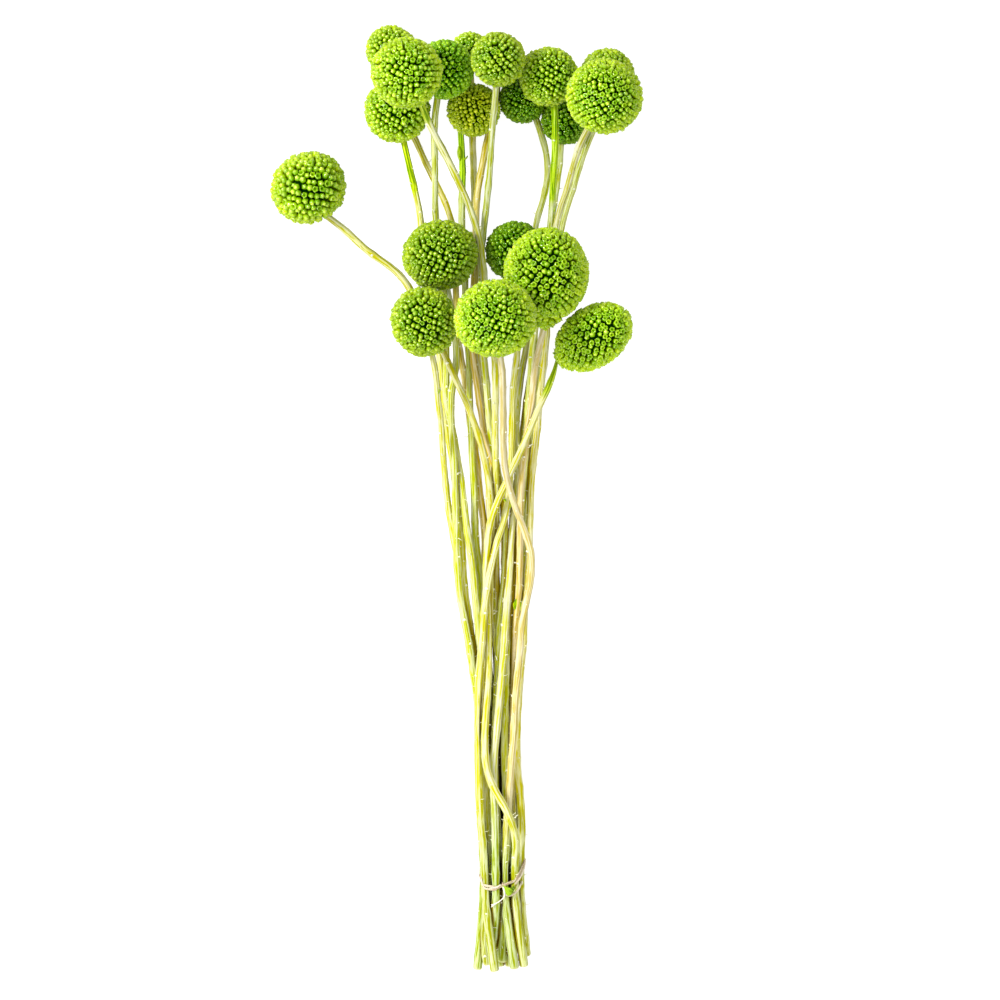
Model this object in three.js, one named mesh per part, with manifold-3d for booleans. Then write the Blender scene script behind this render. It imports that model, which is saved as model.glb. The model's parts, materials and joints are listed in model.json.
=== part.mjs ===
// A tied bunch of twenty billy buttons (Craspedia): round flower heads on long bare stems,
// bound near the cut ends with a strand of raffia and laid down flat.
// Millimetres, +Y along the stems towards the heads, +Z up from the surface it lies on.

import * as THREE from 'three';
import { ConvexHull } from 'three/addons/math/ConvexHull.js';
import { mergeVertices } from 'three/addons/utils/BufferGeometryUtils.js';
import Module from 'manifold-3d';

const wasm = await Module();
wasm.setup();

// Driving dimensions.
const gap = 0.35;
const stemRadiusAtHead = 1.45;
const stemRadiusAtCut = 1.98;
const stemFlatShare = 0.83; // height of a stem's middle over its flat underside, in radii
const stemSides = 6;
const floretSpacing = 6.1;
const floretDepth = 1.6;
const restDepth = 0.6;
const tieCentreX = 1.1;
const tieY = 40;
const tieLow = 37.6;
const tieLowAt = -0.35; // where it is lowest, from -1 on the left to 1 on the right
const tieClimb = 13;
const slotStep = 4.4;
const slotRise = 3.9;
const slotFloor = 3.6;
const waistX = -1.3;
const waistY = 105;
const endSpread = 1.12;
const lyingLength = 13;
const twineRadius = 0.5;
const neckFrom = 0.86; // share of a head's half length from which its neck begins
const neckNarrowing = 0.35;
const relaxRounds = 260;

// The places of the stems in the tie: rows from the surface upwards, columns in steps of a stem.
const slot = (column, row) => [tieCentreX + column * slotStep, slotFloor + row * slotRise];

// Each flower: where its head's centre is, the head's radius across and along its axis, how far
// the ragged neck of bracts stands out at its base, the route of its stem from the head towards
// the tie, its place in the tie, and how far its cut end stops short of the longest one.
const flowers = [
  {
    name: '01', rests: true, centre: [-49.4, 415, 11], across: 11.2, along: 11.2, neck: 0, green: 0x6fae1f,
    route: [
      [-47.4, 401.5, 4.6], [-44.6, 387, 2.4], [-38.3, 375.3, 2.6], [-32.4, 360.5, 5],
      [-28.8, 354.2, 6], [-21.6, 337.5, 8], [-19.8, 306.9, 9], [-18.9, 284, 9.5],
      [-16.7, 273.2, 10], [-14.9, 261.9, 10], [-13.1, 243.9, 10], [-9.5, 221.4, 9],
      [-8.1, 207.9, 8], [-7.2, 196.7, 7.5],
    ],
    place: slot(-0.75, 0), short: 6, pale: 0xc9bd85,
  },
  {
    name: '02', centre: [-41.8, 403.8, 52], across: 16, along: 16, neck: 0, green: 0x77b51f,
    route: [
      [-35.1, 390.2, 43], [-29.7, 377.6, 39], [-24.3, 367.7, 36], [-17.6, 353.7, 33],
      [-13.5, 344.3, 31.5], [-9.9, 331.7, 30], [-7.7, 320.4, 29.5], [-6.8, 311.9, 29.5],
      [-5, 295, 29], [-2, 276.3, 28], [-1.8, 234.9, 24],
    ],
    place: slot(0.75, 1), short: 12, pale: 0xb9c46a,
  },
  {
    name: '03', centre: [-46.5, 388.6, 18.5], across: 14.7, along: 14.7, neck: 0, green: 0x74b01d,
    route: [
      [-43.2, 373.2, 15], [-40.5, 360.9, 13.5], [-38.3, 351.9, 12.5], [-36.2, 336.2, 11.5],
      [-33.8, 315.9, 11], [-30.6, 293.4, 10.5], [-27, 275.4, 9.5], [-25.2, 257.4, 9.5],
      [-23.4, 243.9, 10.5], [-18.5, 205.7, 12], [-17.1, 189.9, 12], [-15.3, 167.4, 12],
      [-11.7, 144.9, 11.5],
    ],
    place: slot(-1.25, 1), short: 5, pale: 0xc3c877,
  },
  {
    name: '04', centre: [-25, 406.8, 28], across: 13.4, along: 13.4, neck: 0, green: 0x5f9d1a,
    route: [
      [-28.2, 393.4, 24], [-29.7, 378.9, 21], [-29.5, 356.4, 19.5], [-28.8, 338.4, 17],
      [-27, 315.9, 14.5], [-25.2, 293.4, 14.5], [-24.1, 273.2, 13.5], [-24.3, 257.4, 13.8],
      [-19.4, 234.9, 15], [-17.1, 219.2, 16], [-15.8, 207.9, 16], [-13.5, 189.9, 15.5],
      [-11.7, 174.2, 15], [-9.9, 151.7, 14.5],
    ],
    place: slot(-0.75, 2), short: 2, pale: 0xc0c672,
  },
  {
    name: '05', rests: true, centre: [-13.5, 414.9, 8.8], across: 8.6, along: 8.6, neck: 0, green: 0x69a31c,
    route: [
      [-13.3, 405.2, 4], [-13, 398, 2.6], [-12.5, 388.9, 2.2], [-13.1, 376.7, 2.4],
      [-12.2, 363.2, 5], [-11.7, 347.4, 8], [-11.3, 340.2, 9], [-10.8, 320, 11],
      [-10.4, 298, 12.5], [-9.9, 277.7, 13.5], [-6.8, 257.4, 13.5], [-6.3, 249.3, 13],
    ],
    place: slot(0.25, 0), short: 9, pale: 0xcdd08d,
  },
  {
    name: '06', centre: [-12, 388.5, 15.8], across: 12, along: 12, neck: 0, green: 0x6a8f1b,
    route: [
      [-17.3, 378.3, 13.5], [-17.1, 363.2, 13], [-16.7, 337.5, 13], [-15.8, 315.9, 13.5],
      [-15.3, 302.4, 14], [-14, 266.4, 15], [-13.1, 252.9, 15], [-12.2, 225.9, 14],
      [-11.3, 198.9, 12], [-9.9, 185.4, 11], [-8.6, 171.9, 10.5],
    ],
    place: slot(-0.25, 1), short: 3, pale: 0xc6b97c,
  },
  {
    name: '07', centre: [-1, 410, 46], across: 12.3, along: 12.3, neck: 0, green: 0x7ab826,
    route: [
      [-1.8, 397.6, 42], [-4.1, 376.7, 36], [-4.5, 364.1, 33], [-5.9, 347.4, 28.5],
      [-7.2, 333.9, 25], [-8.6, 325.8, 24], [-8.6, 306.9, 22], [-8.1, 288.9, 22],
      [-7.7, 277.2, 22.5], [-6.3, 257.4, 23], [-4, 240, 21], [-1, 220, 19.5],
      [1.5, 200, 18],
    ],
    place: slot(-0.25, 3), short: 4, pale: 0xbfcf83,
  },
  {
    name: '08', rests: true, centre: [10.6, 393.1, 11], across: 10.8, along: 10.8, neck: 0, green: 0x5f861a,
    route: [
      [16.4, 383.8, 9.5], [20.7, 373.1, 8.5], [22.1, 360.9, 8], [20.7, 349.7, 7.8],
      [18.5, 342.9, 7.6], [16.7, 337.1, 7.3], [14.9, 324.9, 6.4], [13.5, 302.4, 8],
      [12.6, 282.2, 11], [9.5, 257.4, 14], [8.1, 239.4, 15.5], [9.5, 225.9, 16.5],
      [8.1, 212.4, 17.5], [6.8, 198.9, 18.5], [4.5, 171.9, 19.5], [1.8, 144.9, 20],
      [-0.5, 117.9, 20], [-3.2, 90.9, 20], [-2.3, 70.7, 20],
    ],
    place: slot(-0.75, 4), end: [-5.5, 9], short: 12, pale: 0xd6d9a0,
  },
  {
    name: '09', centre: [22.3, 402.7, 31.3], across: 13.4, along: 13.4, neck: 0, green: 0x66a81c,
    route: [
      [24.8, 388.3, 28.5], [25, 366.3, 26], [24.3, 354.2, 24.5], [22.5, 335.7, 22.5],
      [20.3, 315.9, 20.5], [17.1, 297.9, 19], [14.9, 286.7, 19], [13.1, 264.2, 19],
      [11.7, 230.4, 18.5],
    ],
    place: slot(0.75, 3), short: 7, pale: 0xb7c65a,
  },
  {
    name: '10', rests: true, centre: [29.7, 383.4, 11], across: 10.8, along: 10.8, neck: 0, green: 0x4f7f1a,
    route: [
      [27.4, 371.9, 9.5], [26.6, 366.3, 9], [25.4, 354.2, 9.5], [23, 336, 11],
      [20.5, 315.9, 13], [16.5, 293.4, 13.5], [13.9, 275.4, 13.5], [11.3, 248.4, 13],
    ],
    place: slot(1.25, 0), short: 11, pale: 0xc2c46f,
  },
  {
    name: '11', rests: true, centre: [48.4, 403.7, 12.5], across: 12.3, along: 12.3, neck: 0, green: 0x6cae20,
    route: [
      [45.6, 391.7, 9.8], [42.8, 380.3, 9.3], [38.7, 369.9, 9.5], [35.1, 360, 10],
      [32.4, 351.9, 10.5], [27.9, 336.2, 12.5], [24.8, 315.9, 15.5], [19.4, 288.9, 16.5],
      [16.9, 273.2, 16], [13.9, 248.4, 13],
    ],
    place: slot(1.75, 1), short: 4, pale: 0xc4c877,
  },
  {
    name: '12', centre: [47.1, 394, 48.3], across: 17.2, along: 16.8, neck: 0, green: 0x7aba22,
    route: [
      [40.3, 380.8, 40], [35.1, 369.9, 36.5], [32, 358.7, 33.5], [29.7, 349.7, 31],
      [25.7, 336.2, 28], [23.4, 315.9, 25.5], [21.2, 297.9, 24], [20.7, 286.7, 23.5],
      [18.5, 264.2, 22], [16.7, 248.4, 21], [14.9, 230.4, 20], [13.5, 203.4, 18],
      [8.4, 138.2, 16], [7.2, 104.4, 15.5], [7.4, 91, 15.5], [9, 77.4, 15.5],
      [9.6, 63.9, 15.4],
    ],
    place: slot(1.75, 3), end: [10.8, 10.5], short: 7, pale: 0xb5c455,
  },
  {
    name: '13', rests: true, centre: [-86.2, 353.1, 16.2], across: 17.2, along: 15.8, neck: 0, green: 0x7cb724,
    route: [
      [-77.2, 339.5, 14.5], [-69.8, 334.4, 13.5], [-65.7, 329.9, 13], [-60.3, 324.5, 13],
      [-54, 320.4, 13.2], [-47.7, 316.8, 13.6], [-44.6, 313.7, 14], [-40.5, 307.8, 15],
      [-33.8, 296.1, 17], [-25.7, 280.4, 20.5], [-21.2, 268.7, 22], [-17.1, 259.7, 23],
      [-12.6, 250.7, 23.5], [-8.6, 239.4, 24], [-5, 223.7, 23.5], [-3.2, 211.1, 22],
    ],
    place: slot(-1.25, 3), short: 3, pale: 0xb9c66f,
  },
  {
    name: '14', centre: [-27.2, 322.3, 34], across: 17, along: 15.6, neck: 0, green: 0x6cad1d,
    route: [
      [-23.5, 306, 27], [-21.2, 293, 22], [-20.7, 282.2, 18.5], [-19.8, 274.1, 17.5],
      [-21.6, 264.2, 17.5], [-22.1, 252.9, 17.5], [-21.2, 230.4, 17.5], [-20.3, 203.4, 17],
      [-18.7, 176.4, 16], [-14.9, 153.9, 15], [-11.7, 133.7, 14], [-9.6, 120, 13.5],
      [-9.7, 104.4, 13], [-9.2, 80, 12],
    ],
    place: slot(-1.75, 2), end: [-8.7, 11], short: 0.6, pale: 0xc5c877,
  },
  {
    name: '15', centre: [6.3, 324.5, 19.5], across: 13.5, along: 13.5, neck: 0, green: 0x5c9a1a,
    route: [
      [6.8, 310.5, 17.5], [7.4, 294, 19], [7.7, 277.7, 20], [6.3, 266.4, 20.5],
      [5.4, 252.9, 20.5], [5, 230.4, 19.5], [3.6, 208.8, 20], [-1.4, 192.2, 22.5],
      [-5, 176.4, 24], [-7.2, 162.9, 24], [-8.6, 144.9, 22.5], [-9.7, 126.9, 20.5],
      [-10, 104.4, 20], [-9.2, 77.4, 19.6], [-8.3, 63.9, 19.3],
    ],
    place: slot(-1.75, 4), end: [-2.4, 20], short: 0, pale: 0xc3d07c,
  },
  {
    name: '16', centre: [20.8, 314.6, 48.5], across: 19.1, along: 21.3, neck: 3.6, green: 0x7fbb1f,
    route: [
      [19.6, 287.5, 44], [18.3, 282, 42], [16.7, 273.2, 38], [14, 250.7, 30],
      [11.7, 239.4, 27],
    ],
    place: slot(1.25, 2), short: 8, pale: 0xc0b66c,
  },
  {
    name: '17', centre: [-34.3, 293, 47], across: 15, along: 15.7, neck: 0, green: 0x6fae1f,
    route: [
      [-30.5, 277.2, 43], [-29.3, 272, 41], [-28.4, 257.4, 33], [-26, 243.9, 26],
      [-24.8, 225.9, 18], [-23.6, 212.4, 12.5], [-21, 195, 9], [-16, 165, 7.5],
      [-10, 130, 6.5],
    ],
    place: slot(-1.75, 0), short: 10, pale: 0xbfc56f,
  },
  {
    name: '18', centre: [-1.9, 294, 72.5], across: 18.6, along: 17.2, neck: 0, green: 0x7dbb22,
    route: [
      [0, 276.6, 66], [1.4, 264.2, 58], [1.4, 239.4, 45], [3.2, 223.7, 37],
      [7.2, 210.2, 31.5], [12.2, 196.7, 28], [14.9, 185.4, 26.5], [13.5, 171.9, 25.5],
      [10.8, 160.7, 25], [8.8, 149.4, 24.5], [7.6, 133.7, 24], [6.1, 104.4, 22],
      [4.2, 81.9, 20], [3, 59.4, 19.2],
    ],
    place: slot(0.25, 4), end: [6.6, 17], short: 1.2, pale: 0xc8c27a,
  },
  {
    name: '19', centre: [42.1, 286, 41], across: 13.6, along: 19.4, neck: 1.6, green: 0x74b51d,
    route: [
      [25.8, 273, 36], [22.6, 264.6, 34.8], [19.4, 258.3, 33.5], [15.3, 248.4, 31.5],
      [8.1, 232.7, 29], [3.2, 220.1, 27.5], [-2.7, 207, 26], [-5.9, 192.2, 23],
      [-5, 167.4, 20], [-4.5, 144.9, 19.5], [-5.9, 122.4, 21], [-6.8, 104.4, 23],
      [-5.4, 87.3, 24.5], [-0.9, 79.7, 24.8], [5, 68.4, 24.5], [7.7, 57.2, 23.5],
      [6.3, 46.8, 21.5],
    ],
    place: slot(1.25, 4), end: [10.8, 15.5], short: 2.2, pale: 0xbfcc68,
  },
  {
    name: '20', centre: [0, 407.7, 24], across: 9, along: 9, neck: 0, green: 0x5c961b,
    route: [
      [-1.3, 400.6, 15.5], [-2.2, 395, 9.5], [-2.9, 388, 6.4], [-5.4, 378, 6.2],
      [-7.7, 363.2, 9], [-9.9, 351.9, 12], [-10.4, 340.7, 14], [-11.3, 312.8, 16.5],
      [-12.2, 293.4, 18], [-12.2, 277.7, 18.5], [-9, 257.4, 18], [-5, 234.9, 16.5],
      [0.5, 219.2, 15],
    ],
    place: slot(0.25, 2), short: 2, pale: 0xc2b178,
  },
];

const vector = ([x, y, z]) => new THREE.Vector3(x, y, z);

const material = (colour, roughness) => new THREE.MeshStandardMaterial({
  color: colour,
  roughness,
  metalness: 0,
});

const geometryOf = (points, triangles) => {
  const geometry = new THREE.BufferGeometry();
  geometry.setAttribute('position', new THREE.Float32BufferAttribute(points.flatMap((p) => [p.x, p.y, p.z]), 3));
  geometry.setIndex(triangles);
  return geometry;
};

// One head: florets in a phyllotaxis spiral round an egg, a peak for each and a dip between
// every three. The head's axis points from its centre to the place where its stem leaves it.
const goldenAngle = Math.PI * (3 - Math.sqrt(5));

const spiralPeaks = (count) => {
  const peaks = [];
  for (let i = 0; i < count; i += 1) {
    const height = 1 - (2 * i) / (count - 1);
    const wide = Math.sqrt(Math.max(0, 1 - height * height));
    const turn = i * goldenAngle;
    peaks.push(new THREE.Vector3(wide * Math.cos(turn), wide * Math.sin(turn), height));
  }
  return peaks;
};

const trianglesAround = (peaks) => {
  const triangles = [];
  for (const face of new ConvexHull().setFromPoints(peaks).faces) {
    const corners = [];
    let edge = face.edge;
    do {
      corners.push(peaks.indexOf(edge.head().point));
      edge = edge.next;
    } while (edge !== face.edge);
    for (let k = 1; k + 1 < corners.length; k += 1) {
      triangles.push([corners[0], corners[k], corners[k + 1]]);
    }
  }
  return triangles;
};

const headGeometry = (flower) => {
  const { middle, axis, across, along, neck } = flower;
  const side = new THREE.Vector3(0, 0, 1).addScaledVector(axis, -axis.z).normalize();
  const other = new THREE.Vector3().crossVectors(axis, side);
  const area = 2 * Math.PI * across * (across + along);
  const peaks = spiralPeaks(Math.round(area / (floretSpacing * floretSpacing * 0.866)));
  const place = (unit, depth) => {
    const neckShare = Math.max(0, (unit.z - neckFrom) / (1 - neckFrom));
    const narrow = 1 - (neck > 0 ? neckNarrowing * neckShare : 0);
    return middle.clone()
      .addScaledVector(axis, unit.z * (along - depth) + neck * neckShare)
      .addScaledVector(side, unit.x * (across - depth) * narrow)
      .addScaledVector(other, unit.y * (across - depth) * narrow);
  };
  const points = peaks.map((peak) => place(peak, 0));
  const dipBeside = new Map();
  for (const [a, b, c] of trianglesAround(peaks)) {
    const dip = peaks[a].clone().add(peaks[b]).add(peaks[c]).normalize();
    dipBeside.set(`${a} ${b}`, points.length);
    dipBeside.set(`${b} ${c}`, points.length);
    dipBeside.set(`${c} ${a}`, points.length);
    points.push(place(dip, floretDepth));
  }
  const faces = [];
  for (const [edgeName, left] of dipBeside) {
    const [a, b] = edgeName.split(' ').map(Number);
    faces.push(a, dipBeside.get(`${b} ${a}`), left);
  }
  return geometryOf(points, faces);
};

// A head that rests on the surface sinks until its lowest florets are pressed flat.
for (const flower of flowers) {
  flower.middle = vector(flower.centre);
  flower.axis = vector(flower.route[0]).sub(flower.middle).normalize();
  flower.head = headGeometry(flower);
  if (flower.rests) {
    flower.head.computeBoundingBox();
    const drop = -restDepth - flower.head.boundingBox.min.z;
    flower.head.translate(0, 0, drop);
    flower.middle.z += drop;
  }
}

// Distance of a point from a head's centre, as a share of the head's own radius that way
// with a clearance added.
const shareOfHead = (flower, point, clearance) => {
  const offset = point.clone().sub(flower.middle);
  const alongPart = offset.dot(flower.axis);
  const acrossPart = offset.addScaledVector(flower.axis, -alongPart).length();
  const alongReach = flower.along + clearance + (alongPart > 0 ? flower.neck : 0);
  return Math.hypot(acrossPart / (flower.across + clearance), alongPart / alongReach);
};

// A stem's centre line: a smooth curve through its route, with rings close together where it
// bends and further apart where it runs straight.
const ringSpacing = 14;
const bendSpacing = 7;

const centreLine = (flower) => {
  const start = flower.middle.clone().addScaledVector(flower.axis, flower.along + flower.neck + gap);
  const [tieX, tieZ] = flower.place;
  const knots = [start];
  for (const point of flower.route.slice(1)) {
    knots.push(vector(point));
  }
  if (knots[knots.length - 1].y > waistY + 25) {
    knots.push(new THREE.Vector3(waistX + tieX - tieCentreX, waistY, tieZ));
  }
  knots.push(new THREE.Vector3(tieX, tieY + 6, tieZ));
  knots.push(new THREE.Vector3(tieX, tieY - 6, tieZ));
  const spreadX = tieCentreX + (tieX - tieCentreX) * endSpread;
  const [endX, endZ] = flower.end ?? [spreadX, stemRadiusAtCut * stemFlatShare + tieZ - slotFloor];
  if (tieZ === slotFloor) {
    // The lowest stems lie on the surface for a little way.
    knots.push(new THREE.Vector3(endX, flower.short + lyingLength, endZ));
  }
  knots.push(new THREE.Vector3(endX, flower.short, endZ));
  const curve = new THREE.CatmullRomCurve3(knots, false, 'centripetal');
  const samples = curve.getSpacedPoints(400);
  const step = curve.getLength() / 400;
  const line = [samples[0]];
  let walked = 0;
  for (let i = 1; i < 400; i += 1) {
    walked += step;
    const before = samples[Math.max(0, i - 8)];
    const after = samples[Math.min(400, i + 8)];
    const bend = samples[i].clone().sub(before).angleTo(after.clone().sub(samples[i]));
    const wanted = bend > 0.1 ? bendSpacing : ringSpacing;
    const left = (400 - i) * step;
    if (walked >= wanted && left > bendSpacing * 0.6) {
      line.push(samples[i]);
      walked = 0;
    }
  }
  line.push(samples[400]);
  return line;
};

// A stem is slim for most of its length and thickens towards its cut end.
const radiusAt = (line, index) => {
  const share = (line[0].y - line[index].y) / (line[0].y - line[line.length - 1].y);
  const grown = THREE.MathUtils.clamp(share, 0, 1);
  return THREE.MathUtils.lerp(stemRadiusAtHead, stemRadiusAtCut, grown * grown);
};

for (const flower of flowers) {
  flower.line = centreLine(flower);
  flower.radii = flower.line.map((point, index) => radiusAt(flower.line, index));
  flower.home = flower.line.map((point) => point.clone());
}

// Stems press on each other and on the heads: wherever two come too close they are moved
// apart, and each one is kept smooth.
const closest = (a0, a1, b0, b1) => {
  const d1 = a1.clone().sub(a0);
  const d2 = b1.clone().sub(b0);
  const r = a0.clone().sub(b0);
  const a = d1.lengthSq();
  const e = d2.lengthSq();
  const f = d2.dot(r);
  const c = d1.dot(r);
  const b = d1.dot(d2);
  const bottom = a * e - b * b;
  let s = bottom > 1e-9 ? THREE.MathUtils.clamp((b * f - c * e) / bottom, 0, 1) : 0.5;
  let t = (b * s + f) / e;
  if (t < 0) {
    t = 0;
    s = THREE.MathUtils.clamp(-c / a, 0, 1);
  } else if (t > 1) {
    t = 1;
    s = THREE.MathUtils.clamp((b - c) / a, 0, 1);
  }
  const away = a0.clone().addScaledVector(d1, s).sub(b0.clone().addScaledVector(d2, t));
  return { s, t, away };
};

const pushStems = (one, other) => {
  for (let i = 0; i + 1 < one.line.length; i += 1) {
    const a0 = one.line[i];
    const a1 = one.line[i + 1];
    for (let j = 0; j + 1 < other.line.length; j += 1) {
      const b0 = other.line[j];
      const b1 = other.line[j + 1];
      if (b1.y > a0.y + 6 || b0.y < a1.y - 6) {
        continue;
      }
      const { s, t, away } = closest(a0, a1, b0, b1);
      const wanted = one.radii[i] + other.radii[j] + gap;
      const lack = wanted - away.length();
      if (lack <= 0) {
        continue;
      }
      if (away.length() < 1e-3) {
        away.set(0, 0, 1);
      }
      away.setLength(lack * 0.5);
      a0.addScaledVector(away, 1 - s);
      a1.addScaledVector(away, s);
      b0.addScaledVector(away, t - 1);
      b1.addScaledVector(away, -t);
    }
  }
};

const pushFromHeads = (stem) => {
  stem.line.forEach((point, index) => {
    if (index === 0) {
      return;
    }
    for (const flower of flowers) {
      const own = flower === stem;
      if (own && index < 2) {
        continue;
      }
      const clearance = stem.radii[index] + gap;
      const share = shareOfHead(flower, point, clearance);
      if (share < 1) {
        const outward = point.clone().sub(flower.middle);
        point.addScaledVector(outward, (1 / Math.max(share, 0.2) - 1) * 0.6);
      }
    }
  });
};

const smoothStem = (stem) => {
  const before = stem.line.map((point) => point.clone());
  for (let i = 1; i + 1 < before.length; i += 1) {
    const middle = before[i - 1].clone().add(before[i + 1]).multiplyScalar(0.5);
    const homeMiddle = stem.home[i - 1].clone().add(stem.home[i + 1]).multiplyScalar(0.5);
    const shape = stem.home[i].clone().sub(homeMiddle).add(middle);
    stem.line[i].lerp(shape, 0.1);
    stem.line[i].lerp(stem.home[i], 0.01);
  }
};

for (let round = 0; round < relaxRounds; round += 1) {
  if (round < relaxRounds - 40) {
    flowers.forEach(smoothStem);
  }
  for (let i = 0; i < flowers.length; i += 1) {
    for (let j = i + 1; j < flowers.length; j += 1) {
      pushStems(flowers[i], flowers[j]);
    }
    pushFromHeads(flowers[i]);
  }
  for (const stem of flowers) {
    stem.line.forEach((point, index) => {
      point.z = Math.max(point.z, stem.radii[index] * stemFlatShare);
    });
    stem.line[0].copy(stem.home[0]);
  }
}

// One stem: six-sided rings along its centre line, with a flat side down, closed at both ends.
const stemGeometry = (flower) => {
  const points = [];
  const triangles = [];
  const { line, radii } = flower;
  line.forEach((point, index) => {
    const before = line[Math.max(0, index - 1)];
    const after = line[Math.min(line.length - 1, index + 1)];
    const forward = index === 0 ? flower.axis.clone() : after.clone().sub(before).normalize();
    const up = new THREE.Vector3(0, 0, 1).addScaledVector(forward, -forward.z).normalize();
    const side = new THREE.Vector3().crossVectors(forward, up);
    for (let k = 0; k < stemSides; k += 1) {
      const angle = ((k + 0.5) * 2 * Math.PI) / stemSides;
      const outward = up.clone().multiplyScalar(Math.cos(angle)).addScaledVector(side, Math.sin(angle));
      points.push(point.clone().addScaledVector(outward, radii[index]));
    }
  });
  const ring = (index, k) => index * stemSides + (k % stemSides);
  for (let index = 0; index + 1 < line.length; index += 1) {
    for (let k = 0; k < stemSides; k += 1) {
      triangles.push(ring(index, k), ring(index, k + 1), ring(index + 1, k));
      triangles.push(ring(index, k + 1), ring(index + 1, k + 1), ring(index + 1, k));
    }
  }
  const last = line.length - 1;
  for (let k = 1; k + 1 < stemSides; k += 1) {
    triangles.push(ring(0, 0), ring(0, k + 1), ring(0, k));
    triangles.push(ring(last, 0), ring(last, k), ring(last, k + 1));
  }
  return geometryOf(points, triangles);
};

// Manifold solids for the few joins and cuts.
const solidOf = (geometry) => {
  const plain = new THREE.BufferGeometry();
  plain.setAttribute('position', geometry.getAttribute('position').clone());
  plain.setIndex(geometry.index ? geometry.index.clone() : null);
  const merged = mergeVertices(plain, 1e-4);
  return new wasm.Manifold(new wasm.Mesh({
    numProp: 3,
    vertProperties: new Float32Array(merged.getAttribute('position').array),
    triVerts: new Uint32Array(merged.index.array),
  }));
};

const geometryOfSolid = (solid) => {
  const mesh = solid.getMesh();
  const geometry = new THREE.BufferGeometry();
  geometry.setAttribute('position', new THREE.Float32BufferAttribute(mesh.vertProperties, 3));
  geometry.setIndex(Array.from(mesh.triVerts));
  return geometry;
};

// What lies on the surface is pressed flat there: the part of it below the surface is cut off.
const surfaceBlock = new THREE.BoxGeometry(600, 1200, 40);
surfaceBlock.translate(0, 200, -20);
const surface = solidOf(surfaceBlock);

const restOnSurface = (geometry) => geometryOfSolid(solidOf(geometry).subtract(surface));

// A closed or open strand of twine, six-sided.
const strandGeometry = (line, radius, closed) => {
  const points = [];
  const triangles = [];
  const sides = 6;
  const count = line.length;
  line.forEach((point, index) => {
    const before = closed ? line[(index + count - 1) % count] : line[Math.max(0, index - 1)];
    const after = closed ? line[(index + 1) % count] : line[Math.min(count - 1, index + 1)];
    const forward = after.clone().sub(before).normalize();
    const lean = Math.abs(forward.y) > 0.9 ? new THREE.Vector3(0, 0, 1) : new THREE.Vector3(0, 1, 0);
    const up = lean.addScaledVector(forward, -lean.dot(forward)).normalize();
    const side = new THREE.Vector3().crossVectors(forward, up);
    for (let k = 0; k < sides; k += 1) {
      const angle = (k * 2 * Math.PI) / sides;
      const outward = up.clone().multiplyScalar(Math.cos(angle)).addScaledVector(side, Math.sin(angle));
      points.push(point.clone().addScaledVector(outward, radius));
    }
  });
  const ring = (index, k) => (index % count) * sides + (k % sides);
  const spans = closed ? count : count - 1;
  for (let index = 0; index < spans; index += 1) {
    for (let k = 0; k < sides; k += 1) {
      triangles.push(ring(index, k), ring(index, k + 1), ring(index + 1, k));
      triangles.push(ring(index, k + 1), ring(index + 1, k + 1), ring(index + 1, k));
    }
  }
  if (!closed) {
    for (let k = 1; k + 1 < sides; k += 1) {
      triangles.push(ring(0, 0), ring(0, k + 1), ring(0, k));
      triangles.push(ring(count - 1, 0), ring(count - 1, k), ring(count - 1, k + 1));
    }
  }
  return geometryOf(points, triangles);
};

// The tie goes once round the bunch close to the outer stems: in front it sags on the left and
// climbs to the right, and behind it runs straight.
const pointAtY = (flower, y) => {
  const { line } = flower;
  for (let i = 0; i + 1 < line.length; i += 1) {
    if (line[i].y >= y && line[i + 1].y <= y) {
      const share = (line[i].y - y) / (line[i].y - line[i + 1].y);
      return line[i].clone().lerp(line[i + 1], share);
    }
  }
  return line[line.length - 1].clone();
};

const tieHeight = (angle) => {
  const across = Math.cos(angle);
  const sag = (place) => tieLow + tieClimb * ((place - tieLowAt) / (1 - tieLowAt)) ** 2;
  return Math.sin(angle) > 0 ? sag(across) : THREE.MathUtils.lerp(sag(-1), sag(1), (across + 1) / 2);
};

const tieLine = () => {
  const reach = stemRadiusAtCut + gap + twineRadius;
  const count = 40;
  const line = [];
  for (let i = 0; i < count; i += 1) {
    const angle = (i * 2 * Math.PI) / count;
    const y = tieHeight(angle);
    const outward = new THREE.Vector3(Math.cos(angle), 0, Math.sin(angle));
    let best = null;
    for (const flower of flowers) {
      const centre = pointAtY(flower, y);
      if (best === null || centre.dot(outward) > best.dot(outward)) {
        best = centre;
      }
    }
    line.push(best.clone().addScaledVector(outward, reach));
  }
  return line;
};

// Band, knot and loose tail are one strand of raffia.
const tieTop = slotFloor + 4 * slotRise + stemRadiusAtCut + gap;
const knotX = 1.9;
const tailRadius = 0.42;
const tailSteps = [[0.3, -2.4, 0.2], [0.2, -4.4, 0.3], [-1.6, -6, 0.4], [-4.2, -7.9, 0.3], [-6.4, -9.3, 0.2]];

const tieGeometry = () => {
  const line = tieLine();
  const upper = line.findIndex((point, index) => (
    point.z > tieTop - 2 && point.x >= knotX && line[index + 1].x <= knotX
  ));
  const share = (line[upper].x - knotX) / (line[upper].x - line[upper + 1].x);
  const knotPlace = line[upper].clone().lerp(line[upper + 1], share);
  const knot = new THREE.IcosahedronGeometry(1.1, 1);
  knot.deleteAttribute('normal');
  knot.deleteAttribute('uv');
  knot.scale(1.3, 0.9, 0.6);
  knot.translate(knotPlace.x, knotPlace.y, knotPlace.z);
  const tailLine = [knotPlace, ...tailSteps.map((step) => knotPlace.clone().add(vector(step)))];
  const tail = strandGeometry(tailLine, tailRadius, false);
  const band = strandGeometry(line, twineRadius, true);
  return geometryOfSolid(solidOf(band).add(solidOf(knot)).add(solidOf(tail)));
};

// A scrap of green leaf is caught at the knot and lies over the band and the front stems.
const scrapThickness = 0.6;

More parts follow.
